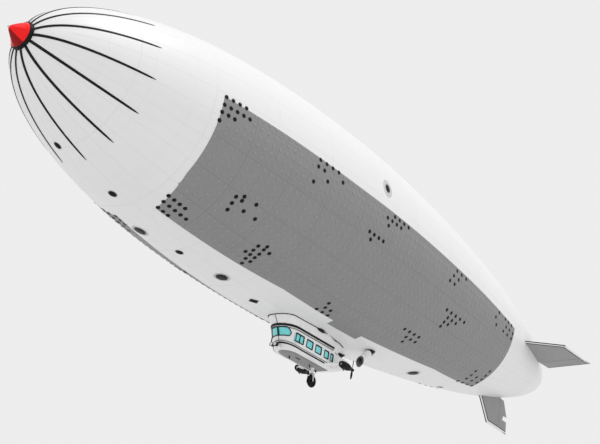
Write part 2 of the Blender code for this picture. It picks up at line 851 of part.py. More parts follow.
def make_cabin_nose(ship):
    """The cockpit's shell, with the windshield and its two side windows cut."""
    shell = bow_band("cabin_nose", shell_levels(), NOSE_JOINT_X + GAP, white_paint(), ship)
    for side, label in ((1, "port"), (-1, "starboard")):
        low, high = sorted((side * POST_HALF, side * CUT_END))
        cut(shell, slab(f"windshield_cut_{label}", WINDSHIELD_OUTLINE, low, high, white_paint()))
    cut(shell, window_cutter("cockpit_window_cut", COCKPIT_WINDOW, -CUT_END, CUT_END))
    outer, inner = WALL + GAP * 2, WALL + GAP * 2 + GLASS
    levels = [
        (GLASS_TOP, CABIN_HALF - outer, outer, 0.0),
        (GLASS_BOTTOM, CABIN_HALF - outer, outer, 0.0),
        (GLASS_BOTTOM, CABIN_HALF - inner, inner, 0.0),
        (GLASS_TOP, CABIN_HALF - inner, inner, 0.0),
    ]
    bow_band("windshield", levels, NOSE_JOINT_X + GLASS_LAP, tinted_glass(), ship)


def window_cutter(name, window, low_y, high_y):
    front, rear, top, bottom = window
    return block(name, (front, low_y, top), (rear, high_y, bottom), white_paint())


def side_profile(side, front, rear):
    """Two end sections of a side wall, upright to the knee and then in to the chine."""
    section = [(half, z) for z, half, _, _ in shell_levels()]
    return [[(x, side * half, z) for half, z in section] for x in (front, rear)]


def make_side(side, label, ship):
    """One long side of the cabin with its windows, and the sheet of glass behind them."""
    sections = side_profile(side, NOSE_JOINT_X, CABIN_REAR_X)
    wall = lofted(f"cabin_side_{label}", sections, white_paint(), parent=ship)
    low, high = sorted((side * CUT_START, side * CUT_END))
    has_door = side < 0
    for number, window in enumerate(SIDE_WINDOWS):
        if has_door and number == DOOR_WINDOW:
            continue
        cut(wall, window_cutter(f"window_cut_{label}_{number}", window, low, high))
    ends = [NOSE_JOINT_X - GLASS_END, CABIN_REAR_X + GLASS_END]
    if has_door:
        front, rear = DOOR_FRONT_X + DOOR_GAP, DOOR_REAR_X - DOOR_GAP
        opening = (front, rear, DOOR_TOP + DOOR_GAP, DOOR_BOTTOM - DOOR_GAP)
        cut(wall, window_cutter("door_opening_cut", opening, low, high))
    near = side * (CABIN_HALF - WALL - GAP * 2)
    far = side * (CABIN_HALF - WALL - GAP * 2 - GLASS)
    if not has_door:
        top, bottom = (ends[0], near, GLASS_TOP), (ends[1], far, GLASS_BOTTOM)
        block(f"side_glass_{label}", top, bottom, tinted_glass(), parent=ship)
        return
    panes = (
        ("front", ends[0], DOOR_FRONT_X + DOOR_GLASS_BACK),
        ("rear", DOOR_REAR_X - DOOR_GLASS_BACK, ends[1]),
    )
    for part, front, rear in panes:
        top, bottom = (front, near, GLASS_TOP), (rear, far, GLASS_BOTTOM)
        block(f"side_glass_{label}_{part}", top, bottom, tinted_glass(), parent=ship)


def make_door(ship):
    """The starboard door, hinged on its front edge, with its own window."""
    hinge = (DOOR_FRONT_X, -CABIN_HALF, (DOOR_TOP + DOOR_BOTTOM) / 2.0)
    rings = []
    for x in (DOOR_FRONT_X, DOOR_REAR_X):
        corners = ((0.0, DOOR_TOP), (0.0, DOOR_BOTTOM), (WALL, DOOR_BOTTOM), (WALL, DOOR_TOP))
        rings.append([(x, inset - CABIN_HALF, z) for inset, z in corners])
    door = lofted("cabin_door", rings, white_paint(), origin=hinge, parent=ship)
    cut(door, window_cutter("door_window_cut", SIDE_WINDOWS[DOOR_WINDOW], -CUT_END, -CUT_START))
    front, rear, top, bottom = SIDE_WINDOWS[DOOR_WINDOW]
    near = -(CABIN_HALF - WALL - GAP * 2)
    block(
        "door_glass",
        (front + GLASS_LAP, near, top + GLASS_LAP),
        (rear - GLASS_LAP, near + GLASS, bottom - GLASS_LAP),
        tinted_glass(),
        origin=hinge,
        parent=door,
    )


def fairing_rings():
    """The fairing's plan at the bottom and top of the belt round the cabin, and inside the hull on the line
    through where it meets it."""
    rings = []
    for z in (CABIN_TOP + GAP, FAIRING_BELT_Z):
        ring = bow_arc(bow_x(z), z, FAIRING_HALF, BOW_DEPTH)
        for x, half, _, _ in FAIRING_SIDES:
            ring = [(x, half, z)] + ring + [(x, -half, z)]
        rings.append(ring)
    met = bow_arc(FAIRING_BOW_X, FAIRING_MEETS_Z, FAIRING_HALF, BOW_DEPTH)
    for _, _, x, half in FAIRING_SIDES:
        met = [(x, half, FAIRING_MEETS_Z)] + met + [(x, -half, FAIRING_MEETS_Z)]
    share = (FAIRING_INSIDE_Z - FAIRING_BELT_Z) / (FAIRING_MEETS_Z - FAIRING_BELT_Z)
    rings.append([along(low, high, share) for low, high in zip(rings[1], met)])
    return rings


def make_cabin_shell(ship):
    """The fairing up to the hull, the floor with its belly, and the tail behind the cabin."""
    fairing = lofted("cabin_fairing", fairing_rings(), white_paint(), parent=ship)
    cut(fairing, hull_cutter("fairing_bed"))
    rings = [plan(CHINE_Z - GAP, CHINE_HALF, CABIN_REAR_X, CHINE_BACK)]
    for z, half, back, rear in BELLY_LEVELS:
        rings.append(plan(z, half, rear, back))
    lofted("cabin_floor", rings, grey_paint(), parent=ship)
    rings = []
    for x, half, top, bottom in TAIL_SECTIONS:
        bevel = half * TAIL_BEVEL
        ring = []
        inset = half - bevel
        for y, z in ((inset, top), (half, top - bevel), (half, bottom + bevel), (inset, bottom)):
            ring.append((x, y, z))
        ring += [(x, -y, z) for x, y, z in reversed(ring)]
        rings.append(ring)
    lofted("cabin_tail", rings, white_paint(), parent=ship)


def make_vent(side, label, ship):
    """A dark vent on the fairing's top edge, half a spindle whose flat back lies against the fairing."""
    half_length, reach, half_height = VENT_HALF
    rings = []
    for ahead, share in VENT_SECTIONS:
        ring = []
        for degrees in VENT_TURNS:
            angle = math.radians(degrees)
            y = VENT_Y + reach * share * math.cos(angle)
            z = VENT_Z + half_height * share * math.sin(angle)
            ring.append((VENT_X + half_length * ahead, side * y, z))
        rings.append(ring)
    vent = lofted(f"fairing_vent_{label}", rings, black_paint(), parent=ship)
    cut(vent, hull_cutter(f"vent_bed_{label}"))


def make_rails(ship):
    """The rails round the cabin, above and below its windows."""
    for name, middle, half, depth, wide, rise, port_rear, starboard_rear in RAILS:
        near, far = GAP * 2, depth
        levels = [
            (middle + half, wide + far, -far, rise),
            (middle - half, wide + far, -far, rise),
            (middle - half, wide + near, -near, rise),
            (middle + half, wide + near, -near, rise),
        ]
        bow_band(name, levels, port_rear, black_paint(), ship, starboard_rear)


def make_engine(side, label, ship):
    """An engine in its cowling on an outrigger, with a pusher propeller."""
    centre = (0.0, side * NACELLE_Y, NACELLE_Z)
    outer = list(zip(NACELLE_X, NACELLE_RADII))
    inner = [(x, radius - NACELLE_WALL) for x, radius in outer]
    skin = outer + list(reversed(inner))
    turned(f"cowling_{label}", skin, NACELLE_SIDES, black_paint(), "X", centre, parent=ship)
    ring_x = NACELLE_X[2]
    seat = (NACELLE_RADII[2] - NACELLE_WALL) * math.cos(math.pi / NACELLE_SIDES) - GAP
    profile = [
        (NACELLE_X[1], 0.0),
        (NACELLE_X[1], ENGINE_RADIUS * ENGINE_FRONT_SHARE),
        (NACELLE_X[1] - ENGINE_SHOULDER, ENGINE_RADIUS),
        (ring_x + MOUNT_RING_HALF, ENGINE_RADIUS),
        (ring_x + MOUNT_RING_HALF, seat - MOUNT_RING_HALF),
        (ring_x - GAP, seat - GAP * 2),
        (ring_x - MOUNT_RING_HALF, seat - MOUNT_RING_HALF),
        (ring_x - MOUNT_RING_HALF, ENGINE_RADIUS),
        (NACELLE_X[3], ENGINE_RADIUS),
        (NACELLE_X[4] + ENGINE_END, ENGINE_END_RADIUS),
        (NACELLE_X[4] + ENGINE_END, 0.0),
    ]
    turned(f"engine_{label}", profile, NACELLE_SIDES, dull_metal(), "X", centre, parent=ship)
    make_outrigger(side, label, ship)
    make_propeller(side, label, ship)


def make_outrigger(side, label, ship):
    """The arm between the cabin's side and the cowling, a flat streamlined plate."""
    under = [(share, -part) for share, part in reversed(OUTRIGGER_SECTION[1:-1])]
    section = list(OUTRIGGER_SECTION) + under
    rings = []
    for y, front, rear, z in OUTRIGGER_ENDS:
        ring = []
        for share, part in section:
            ring.append((front + (rear - front) * share, side * y, z + OUTRIGGER_HALF * part))
        rings.append(ring)
    arm = lofted(f"outrigger_{label}", rings, white_paint(), parent=ship)
    profile = [(x, radius + GAP * 2) for x, radius in zip(NACELLE_X, NACELLE_RADII)]
    profile = [(NACELLE_X[0], 0.0)] + profile + [(NACELLE_X[-1], 0.0)]
    centre = (0.0, side * NACELLE_Y, NACELLE_Z)
    cut(arm, turned(f"cowling_seat_{label}", profile, NACELLE_SIDES, white_paint(), "X", centre))


def make_propeller(side, label, ship):
    """A two-bladed propeller, whose origin is on its shaft."""
    centre = Vector((PROPELLER_X, side * NACELLE_Y, NACELLE_Z))
    name = f"propeller_{label}"
    propeller = turned(name, HUB_PROFILE, HUB_SIDES, black_paint(), "X", centre, centre, ship)
    for blade in (1, -1):
        rings = []
        for reach, chord, thick, twist in BLADE_SECTIONS:
            turn = math.radians(twist) * side
            ring = []
            for chordwise, out in BLADE_CORNERS:
                across = chordwise * chord * blade
                ahead = out * thick
                x = ahead * math.cos(turn) + across * math.sin(turn) * blade
                y = across * math.cos(turn) - ahead * math.sin(turn) * blade
                ring.append(centre + Vector((x, y, blade * reach)))
            rings.append(ring)
        join(propeller, lofted(f"blade_{label}_{blade}", rings, black_paint()))


def make_scoop(side, label, ship):
    """An air scoop, a slanting tube whose mouth faces ahead and whose top meets the hull."""
    mouth, top = Vector(SCOOP_MOUTH), Vector(SCOOP_TOP)
    axis = (top - mouth).normalized()
    aside = axis.cross(Vector((0.0, 0.0, 1.0))).normalized()
    up = axis.cross(aside).normalized()
    mouth_normal = Vector((1.0, 0.0, 0.0))
    loops = []
    for radius in (SCOOP_RADIUS, SCOOP_RADIUS - SCOOP_WALL):
        for end, level in ((mouth, True), (top, False)):
            loop = []
            for step in range(SCOOP_SIDES):
                angle = 2.0 * math.pi * step / SCOOP_SIDES
                offset = aside * radius * math.cos(angle) + up * radius * math.sin(angle)
                slide = -offset.dot(mouth_normal) / axis.dot(mouth_normal) if level else 0.0
                point = end + offset + axis * slide
                loop.append((point.x, side * point.y, point.z))
            loops.append(loop)
    order = [loops[0], loops[1], loops[3], loops[2]]
    points = [point for loop in order for point in loop]
    faces = []
    for level in range(4):
        low, high = level * SCOOP_SIDES, ((level + 1) % 4) * SCOOP_SIDES
        for place in range(SCOOP_SIDES):
            after = (place + 1) % SCOOP_SIDES
            faces.append([low + place, low + after, high + after, high + place])
    scoop = solid(f"air_scoop_{label}", points, faces, white_paint(), parent=ship)
    cut(scoop, hull_cutter(f"scoop_bed_{label}"))


def make_leg(ship):
    """The fixed leg under the belly, a tube in which the castor's pin turns."""
    belly = BELLY_LEVELS[-1][0] - GAP
    bore = PIN_RADIUS + PIN_CLEAR
    leg = [
        (belly, bore),
        (belly, LEG_RADIUS + LEG_FLANGE),
        (belly - LEG_FLANGE_DEPTH, LEG_RADIUS + LEG_FLANGE),
        (belly - LEG_FLANGE_DEPTH, LEG_RADIUS),
        (LEG_BOTTOM, LEG_RADIUS),
        (LEG_BOTTOM, bore),
    ]
    turned("gear_leg", leg, LEG_SIDES, dull_metal(), "Z", (CASTOR_X, 0.0, 0.0), parent=ship)


def make_fork(ship):
    """The castor's pin, crown, two blades and axle, one body whose origin is on its pin."""
    top = BELLY_LEVELS[-1][0] - PIN_CLEAR
    under_leg = LEG_BOTTOM - PIN_CLEAR
    swivel = (CASTOR_X, 0.0, (top + LEG_BOTTOM) / 2.0)
    pin = [
        (top, 0.0),
        (top, PIN_RADIUS),
        (under_leg, PIN_RADIUS),
        (under_leg, CROWN_RADIUS),
        (CROWN_BOTTOM, CROWN_RADIUS),
        (CROWN_BOTTOM, 0.0),
    ]
    centre = (CASTOR_X, 0.0, 0.0)
    fork = turned("castor_fork", pin, LEG_SIDES, dull_metal(), "Z", centre, swivel, ship)
    crown_top = under_leg - PIN_CLEAR * 2
    crown_front, crown_rear = CASTOR_X + CROWN_OVERHANG, AXLE_X - CROWN_OVERHANG
    corner = (crown_front, -BLADE_OUTER, crown_top)
    opposite = (crown_rear, BLADE_OUTER, CROWN_BOTTOM - PIN_CLEAR)
    join(fork, block("fork_crown", corner, opposite, dull_metal()))
    blade_top = crown_top - PIN_CLEAR * 2
    outline = (
        (crown_front, blade_top),
        (crown_rear, blade_top),
        (AXLE_X - FORK_FOOT_HALF, AXLE_Z - FORK_FOOT_HALF),
        (AXLE_X + FORK_FOOT_HALF, AXLE_Z - FORK_FOOT_HALF),
    )
    for side in (1, -1):
        low, high = sorted((side * BLADE_INNER, side * (BLADE_OUTER - PIN_CLEAR / 2.0)))
        join(fork, slab(f"fork_blade_{side}", outline, low, high, dull_metal()))
    reach = BLADE_OUTER + AXLE_OVERHANG
    axle = [(-reach, 0.0), (-reach, AXLE_RADIUS), (reach, AXLE_RADIUS), (reach, 0.0)]
    middle = (AXLE_X, 0.0, AXLE_Z)
    join(fork, turned("fork_axle", axle, AXLE_SIDES, dull_metal(), "Y", middle))
    return fork


def make_landing_gear(ship):
    """The castoring landing wheel: leg, fork, wheel and tyre."""
    make_leg(ship)
    fork = make_fork(ship)
    middle = (AXLE_X, 0.0, AXLE_Z)
    wheel = turned("wheel_rim", RIM_PROFILE, WHEEL_SIDES, black_paint(), "Y", middle, middle, fork)
    tyre = [(-BEAD_HALF, RIM_RADIUS), (BEAD_HALF, RIM_RADIUS)]
    core = (TYRE_RADIUS + RIM_RADIUS) / 2.0
    rise = TYRE_RADIUS - core
    for step in range(TYRE_STEPS + 1):
        angle = math.pi * (step / TYRE_STEPS * TYRE_TURN - (TYRE_TURN - 1.0) / 2.0)
        tyre.append((TYRE_HALF_WIDTH * math.cos(angle), core + rise * math.sin(angle)))
    turned("tyre", tyre, WHEEL_SIDES, dark_rubber(), "Y", middle, middle, wheel)


def make_seats(ship):
    """Rows of seats, one each side of the aisle on a shared cross bar."""
    bar_front, bar_rear, bar_height = SEAT_BAR
    for number, front in enumerate(SEAT_ROWS, start=1):
        outline = [(front + ahead, SEAT_BASE_Z + height) for ahead, height in SEAT_OUTLINE]
        corner = (front + bar_front, -SEAT_Y, SEAT_BASE_Z)
        opposite = (front + bar_rear, SEAT_Y, SEAT_BASE_Z + bar_height)
        row = block(f"seat_row_{number}", corner, opposite, seat_fabric(), parent=ship)
        for side in (1, -1):
            middle = side * SEAT_Y
            low, high = middle - SEAT_HALF, middle + SEAT_HALF
            join(row, slab(f"seat_{number}_{side}", outline, low, high, seat_fabric()))


def make_controls(ship):
    """The instrument panel in the cockpit."""
    outline = [(x, SEAT_BASE_Z + height) for x, height in PANEL_OUTLINE]
    slab("instrument_panel", outline, -PANEL_HALF, PANEL_HALF, black_paint(), parent=ship)


def make_lamps(ship):
    """The pair of landing lamps ahead of the bow, on a bracket that narrows back to it."""
    rings = []
    for x, half, top, bottom in LAMP_BRACKET:
        corners = ((half, top), (-half, top), (-half, bottom), (half, bottom))
        rings.append([(x, y, LAMP_Z + rise) for y, rise in corners])
    lamp = lofted("bow_lamp", rings, black_paint(), parent=ship)
    for side in (1, -1):
        barrel = [(LAMP_X - LAMP_LENGTH * back, LAMP_RADIUS * share) for back, share in LAMP_BARREL]
        centre = (0.0, side * LAMP_Y, LAMP_Z)
        join(lamp, turned(f"lamp_{side}", barrel, LAMP_SIDES, black_paint(), "X", centre))
    seat = [plan(z, half, NOSE_JOINT_X, back, rise) for z, half, back, rise in shell_levels(GAP * 2)[:3]]
    cut(lamp, lofted("lamp_bed", seat, white_paint()))


def build():
    """Makes every piece under one empty."""
    clear_scene()
    ship = bpy.data.objects.new("airship", None)
    bpy.context.scene.collection.objects.link(ship)
    make_envelope(ship)
    make_nose(ship)
    make_battens(ship)
    make_sign("sign_panel_port", 1, ship)
    make_sign("sign_panel_starboard", -1, ship)
    make_valves(ship)
    make_tail(ship)
    make_cabin_shell(ship)
    make_cabin_nose(ship)
    for side, label in ((1, "port"), (-1, "starboard")):
        make_side(side, label, ship)
        make_engine(side, label, ship)
        make_scoop(side, label, ship)
        make_vent(side, label, ship)
    make_door(ship)
    make_rails(ship)
    make_landing_gear(ship)
    make_seats(ship)
    make_controls(ship)
    make_lamps(ship)


build()
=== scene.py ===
"""Gives the half-size airship its finish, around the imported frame.

It is laid out as an add-on and run as a script: sizes and colours are properties, each piece or group of
like pieces has an operator, and main() calls them in order. Metres, +X to the nose, +Y to port, +Z up.
"""

import math
from typing import NamedTuple

import bmesh
import bpy
from bpy.props import FloatProperty, FloatVectorProperty, IntProperty, PointerProperty
from mathutils import Matrix, Vector


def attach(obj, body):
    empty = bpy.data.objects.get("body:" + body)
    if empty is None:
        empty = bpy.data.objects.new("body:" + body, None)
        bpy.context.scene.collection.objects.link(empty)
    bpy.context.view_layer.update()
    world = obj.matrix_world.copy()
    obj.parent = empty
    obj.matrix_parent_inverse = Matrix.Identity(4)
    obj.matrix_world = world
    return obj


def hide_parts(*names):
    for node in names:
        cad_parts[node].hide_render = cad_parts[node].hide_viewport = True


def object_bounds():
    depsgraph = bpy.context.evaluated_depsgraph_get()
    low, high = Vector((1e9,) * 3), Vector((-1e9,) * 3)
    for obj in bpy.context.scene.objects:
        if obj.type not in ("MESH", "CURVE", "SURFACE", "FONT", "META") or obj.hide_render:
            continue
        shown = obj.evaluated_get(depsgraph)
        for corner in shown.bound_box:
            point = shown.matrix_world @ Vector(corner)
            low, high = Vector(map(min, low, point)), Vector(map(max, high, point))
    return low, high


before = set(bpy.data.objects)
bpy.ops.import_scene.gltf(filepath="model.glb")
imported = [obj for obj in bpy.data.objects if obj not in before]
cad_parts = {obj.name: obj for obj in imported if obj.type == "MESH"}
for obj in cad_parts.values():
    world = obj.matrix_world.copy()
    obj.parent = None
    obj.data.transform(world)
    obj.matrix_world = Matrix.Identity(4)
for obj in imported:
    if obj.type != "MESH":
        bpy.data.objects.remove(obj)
CAD_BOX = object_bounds()

bl_info = {
    "name": "Half-size airship",
    "version": (1, 0, 0),
    "blender": (4, 5, 0),
    "location": "3D View > Sidebar > Airship",
    "description": "Builds the airship's cloth, sign lamps, cabin trim and studio around its frame",
    "category": "Object",
}

SHIP = "ship"
SIDES = ((1, "port"), (-1, "starboard"))

# The hull's outline, the same as the solid's: how far back it is widest, and how full its nose and tail are
NOSE_X = 13.30
HULL_LENGTH = NOSE_X - CAD_BOX[0].x
HULL_RADIUS = 3.50
WIDEST = 0.43
NOSE_POWER, NOSE_FULLNESS = 2.439, 0.498
TAIL_POWER, TAIL_FULLNESS = 1.642, 0.577
HULL_RINGS, HULL_SIDES = 110, 144

# Tapes over the hull's lengthwise seams
TAPE_FRONT_X, TAPE_LENGTH, TAPE_STEPS = 12.6, 28.0, 63

# Sign panels: x, lower and upper edge in degrees, 0 at the side and -90 below
SIGN_OUTLINE = (
    (8.15, -45.0, 5.0),
    (7.90, -74.0, 4.8),
    (4.50, -71.0, 3.6),
    (2.40, -68.5, 3.0),
    (-2.00, -69.5, 2.6),
    (-6.65, -68.0, 1.8),
    (-8.60, -71.0, 0.8),
    (-9.85, -72.0, 0.0),
)
# A tab below the lower edge, over the cabin
SIGN_TAB = (
    (-0.35, -73.5, -69.1),
    (-2.00, -74.0, -69.5),
)
SIGN_ROWS, TAB_ROWS = 26, 4
SIGN_LIFT = 0.006
# A sign lamp as (share of its radius, stands out)
LAMP_DOME = ((1.0, 0.004), (1.0, 0.011), (0.72, 0.019), (0.3, 0.022), (0.0, 0.0225))
LAMP_SIDES = 12
# How near a grey lamp may stand to a dark one, as a share of the pitch
DARK_CLEAR = 0.62
# Rows of dark lamps: degrees, x of the first, pitch and count
DARK_LAMPS = (
    (5.2, 8.08, 0.250, 4),
    (0.0, 8.10, 0.240, 5),
    (-4.8, 8.12, 0.235, 3),
    (-10.0, 8.12, 0.240, 1),
    (-62.0, 8.02, 0.225, 4),
    (-67.0, 7.96, 0.235, 5),
    (-72.5, 7.89, 0.210, 3),
    (-37.5, 6.18, 0.510, 2),
    (-40.0, 6.41, 0.250, 2),
    (-44.0, 6.38, 0.500, 3),
    (-48.2, 6.34, 0.250, 1),
    (-52.6, 4.30, 0.250, 1),
    (-55.0, 4.56, 0.260, 3),
    (-58.5, 4.56, 0.280, 2),
    (-61.7, 4.71, 0.215, 3),
    (-65.2, 4.47, 0.220, 2),
    (-69.0, 4.38, 0.220, 1),
    (2.6, 4.10, 0.300, 4),
    (-1.6, 4.14, 0.290, 2),
    (-1.2, 2.94, 0.300, 1),
    (-6.0, 3.61, 0.300, 1),
    (-10.6, 4.18, 0.300, 1),
    (-60.7, 0.58, 0.290, 1),
    (-64.2, 0.50, 0.290, 2),
    (-68.0, 0.67, 0.300, 3),
    (-15.5, 1.12, 0.260, 4),
    (-18.8, 0.94, 0.260, 1),
    (1.0, 0.07, 0.284, 4),
    (-2.4, 0.45, 0.272, 4),
    (-6.1, 0.32, 0.270, 1),
    (-50.4, -3.18, 0.320, 4),
    (-54.6, -3.60, 0.310, 3),
    (-58.6, -3.69, 0.310, 1),
    (-25.9, -4.46, 0.345, 5),
    (-29.8, -4.76, 0.315, 3),
    (-33.4, -4.71, 0.290, 2),
    (-36.9, -4.68, 0.290, 1),
    (0.0, -4.31, 0.365, 3),
    (-4.6, -4.13, 0.380, 2),
    (-9.1, -3.95, 0.350, 2),
    (-0.7, -8.15, 0.660, 2),
    (-0.8, -9.14, 0.345, 2),
    (-6.4, -7.91, 1.080, 2),
    (-6.3, -9.34, 0.400, 2),
    (-11.5, -8.10, 0.730, 1),
    (-11.4, -8.83, 0.435, 3),
    (-47.5, -9.60, 0.400, 1),
    (-53.2, -8.76, 0.880, 2),
    (-58.6, -8.81, 0.440, 3),
    (-64.0, -8.84, 0.430, 3),
    (-70.5, -8.66, 0.370, 4),
)

DARK_PLACES = [
    (first - place * pitch, degrees) for degrees, first, pitch, count in DARK_LAMPS for place in range(count)
]

# Gas valves: number, x, degrees, radius, length as a share of its width, patch as a share of its radius
VALVES = (
    (1, 7.15, -100.0, 0.20, 1.0, 1.42),
    (2, 4.10, -87.0, 0.20, 1.0, 1.42),
    (3, -6.35, -82.0, 0.20, 1.0, 1.42),
    (4, 0.55, 15.0, 0.16, 0.75, 2.13),
)
# A valve's body as (share of its radius, stands out)
VALVE_BODY = (
    (1.0, 0.0),
    (1.0, 0.012),
    (0.94, 0.016),
    (0.84, 0.016),
    (0.80, 0.010),
    (0.74, 0.010),
    (0.68, 0.024),
    (0.40, 0.029),
    (0.0, 0.030),
)
VALVE_SIDES, VALVE_BOLTS = 32, 12
BOLT_SHARE, BOLT_LIFT = 0.89, 0.014
BOLT_HEAD = ((0.0, 0.009), (0.004, 0.009), (0.006, 0.006), (0.006, 0.0))
# Small black patches on the cloth: x, degrees, radius, corners
PATCHES = (
    (10.95, -99.0, 0.115, 16),
    (8.95, -89.0, 0.130, 16),
    (5.85, -91.0, 0.125, 16),
    (2.30, -90.0, 0.190, 4),
    (-8.95, -92.0, 0.110, 16),
)
# How the patch with four corners is turned, in degrees
DIAMOND_TURN = 100.0

# Nose cone and battens
CONE_TIP_X, CONE_RIM_X = 13.75, 13.34
CONE_RADIUS, CONE_DOME = 0.39, 1.25
SPINDLE_X, SPINDLE_RADIUS = 13.79, 0.030
CONE_PANELS, CONE_STEPS, CONE_SIDES = 6, 22, 96
# How flat the cone's panels are, and how far down they reach
PANEL_FLATNESS, PANEL_END = 0.85, 0.87
# The panel painted a darker red as painted shade, in degrees
PAINTED_SHADE_PANEL = (-112.0, -52.0)
BAND_RADIUS = 0.435
BATTENS, FIRST_BATTEN, BATTEN_STEPS = 14, 96.0, 34
BATTEN_FRONT_X, BATTEN_REACH = 13.225, 3.00
# A batten's section as shares of its half width and its depth
BATTEN_SECTION = ((-1.0, 0.0), (-0.92, 0.6), (-0.6, 1.0), (0.6, 1.0), (0.92, 0.6), (1.0, 0.0))

# A fin's outline: x and distance from the axis of the front root, front tip, back tip, back bend and back
# root, then the hinge's x and the distance from the axis where the moving surface starts
TOP_FIN = ((-11.70, 2.10), (-12.37, 2.93), (-13.90, 2.52), (-13.86, 2.10), (-13.62, 1.62), -13.28, 1.64)
BOTTOM_FIN = ((-11.70, 2.10), (-12.37, 2.93), (-13.93, 2.97), (-13.89, 2.24), (-13.55, 1.62), -13.28, 1.64)
SIDE_FIN = ((-11.20, 2.10), (-12.00, 3.50), (-14.12, 3.54), (-14.22, 2.40), (-14.29, 1.53), -13.50, 1.55)
# Fixed fin, its moving surface, degrees round the axis, outline
FINS = (
    ("fin_top", "rudder_top", 90.0, TOP_FIN),
    ("fin_bottom", "rudder_bottom", -90.0, BOTTOM_FIN),
    ("fin_port", "elevator_port", 0.0, SIDE_FIN),
    ("fin_starboard", "elevator_starboard", 180.0, SIDE_FIN),
)
# Distances from the axis between which a fin thins out, and to which its root is buried in the hull
FIN_ROOT, FIN_TIP, FIN_BURIED = 1.50, 3.50, 1.45
FIN_HALF_ROOT, FIN_HALF_TIP = 0.060, 0.032
# Where lines of points run along a fin's chord: across the rim and the plate, and behind the hinge
RIM_SHARES = (0.0, 0.06, 0.18, 0.4, 0.7, 1.0)
PLATE_SHARES = (0.12, 0.3, 0.5, 0.75, 1.0)
SURFACE_SHARES = (0.25, 0.5, 0.75, 1.0)
HINGE_SHARE, HINGE_CLEAR, HINGE_STEPS = 0.8, 0.008, 12
# The rim's width along the tip as a share of its width in front
TIP_RIM = 0.7
EDGE_HALF = 0.007
# The notch for the trim tab
TAB_NOTCH = ((-14.00, 2.26), (-13.62, 2.25), (-13.54, 2.46), (-13.80, 2.46), (-14.00, 2.48))

# Cabin, as the solids have it: half width, then the bow's x at a height, its rake and its depth
CABIN_HALF = 0.535
BOW_X, BOW_Z, BOW_RAKE, BOW_DEPTH = 0.905, -3.965, 0.43, 0.50
BELLY_Z = -4.575
KNEE_RISE = 0.110
BOW_STEPS = 20
FAIRING_HALF = 0.555
FAIRING_BELT_Z, FAIRING_MEETS_Z = -3.745, -3.470
FAIRING_BOW_X = 1.220
# The fairing's sides: x and half width at the belt, then where it would meet the hull
FAIRING_SIDES = (
    (-0.350, 0.555, -0.350, 0.558),
    (-0.950, 0.555, -0.950, 0.510),
    (-1.440, 0.555, -1.550, 0.410),
    (-1.600, 0.430, -1.850, 0.335),
    (-1.960, 0.330, -2.280, 0.190),
)
# How the cabin's solids are finished: node, finish, width of their rounded edges
CABIN_SOLIDS = (
    ("cabin_nose", "cabin_paint", 0.004),
    ("cabin_side_port", "cabin_paint", 0.004),
    ("cabin_side_starboard", "cabin_paint", 0.004),
    ("cabin_fairing", "cabin_paint", 0.004),
    ("cabin_tail", "cabin_paint", 0.004),
    ("cabin_door", "cabin_paint", 0.003),
    ("cabin_floor", "belly_paint", 0.006),
    ("upper_rail", "black_paint", 0.006),
    ("lower_rail", "black_paint", 0.005),
    ("fairing_vent_port", "black_paint", 0.004),
    ("fairing_vent_starboard", "black_paint", 0.004),
)
# Windows and the door: front x, rear x, top, bottom
COCKPIT_WINDOW = (0.550, 0.140, -3.975, -4.250)
SIDE_WINDOWS = (
    (-0.025, -0.355, -3.985, -4.250),
    (-0.505, -0.830, -3.995, -4.255),
    (-1.000, -1.235, -4.005, -4.260),
    (-1.340, -1.490, -4.015, -4.262),
)
DOOR_WINDOW = 1
DOOR = (-0.430, -0.880, -3.900, -4.470)
HANDLE_Z, LOCK_Z = -4.325, -4.355
PANES = (
    "windshield",
    "door_glass",
    "side_glass_port",
    "side_glass_starboard_front",
    "side_glass_starboard_rear",
)
# The windshield's edge on the bow as (x, z), running past the bow in front
WINDSHIELD = (
    (1.30, -3.850),
    (0.850, -3.850),
    (0.765, -3.920),
    (0.690, -4.030),
    (0.705, -4.125),
    (1.30, -4.125),
)
POST_HALF = 0.012
BOW_STRIP = (-4.39, -4.13)
# Lines round the cabin: z, half height, stands out, rise at the bow, port and starboard rear x, finish
CABIN_LINES = (
    (-3.846, 0.016, 0.012, 0.0, -1.440, -1.440, "stripe"),
    (-3.872, 0.008, 0.014, 0.0, -1.440, -1.440, "black"),
    (-4.385, 0.008, 0.010, KNEE_RISE, -1.280, -0.400, "black"),
    (-4.413, 0.018, 0.008, KNEE_RISE, -1.280, -0.400, "stripe"),
)

# Under the floor: hatch, aerials as (x, y), the outline of one, and the drains' first x, pitch and count
HATCH = (-0.09, -0.32, 0.150, 0.055)
AERIALS = ((0.10, -0.06), (-0.80, 0.10), (-1.34, -0.05))
AERIAL_BLADE = ((0.0, 0.0), (-0.09, 0.0), (-0.075, -0.085), (-0.045, -0.085))
DRAIN_X, DRAIN_PITCH, DRAINS = -0.35, 0.17, 5
DRAIN_COVER = ((0.0, 0.016), (0.006, 0.015), (0.008, 0.010), (0.008, 0.0))

# Engines: stations of the cowling, its wall, and the steps and degrees between which its top is painted light
# grey as a painted highlight
NACELLE_X = (-1.40, -1.45, -1.56, -1.79, -1.98)
NACELLE_RADII = (0.080, 0.115, 0.137, 0.126, 0.070)
NACELLE_Y, NACELLE_Z = 0.97, -4.37
NACELLE_SIDES, NACELLE_STEPS, NACELLE_WALL = 48, 28, 0.008
HIGHLIGHT_STEPS, HIGHLIGHT_DEGREES = (3, 18), (42.0, 138.0)
LOUVRES, LOUVRE_X, LOUVRE_PITCH = 5, -1.60, 0.035
PROPELLER_X = -2.075
# The propeller's hub as (along, radius)
HUB = (
    (0.075, 0.0),
    (0.075, 0.052),
    (0.070, 0.055),
    (-0.020, 0.055),
    (-0.045, 0.050),
    (-0.070, 0.040),
    (-0.088, 0.024),
    (-0.100, 0.0),
)
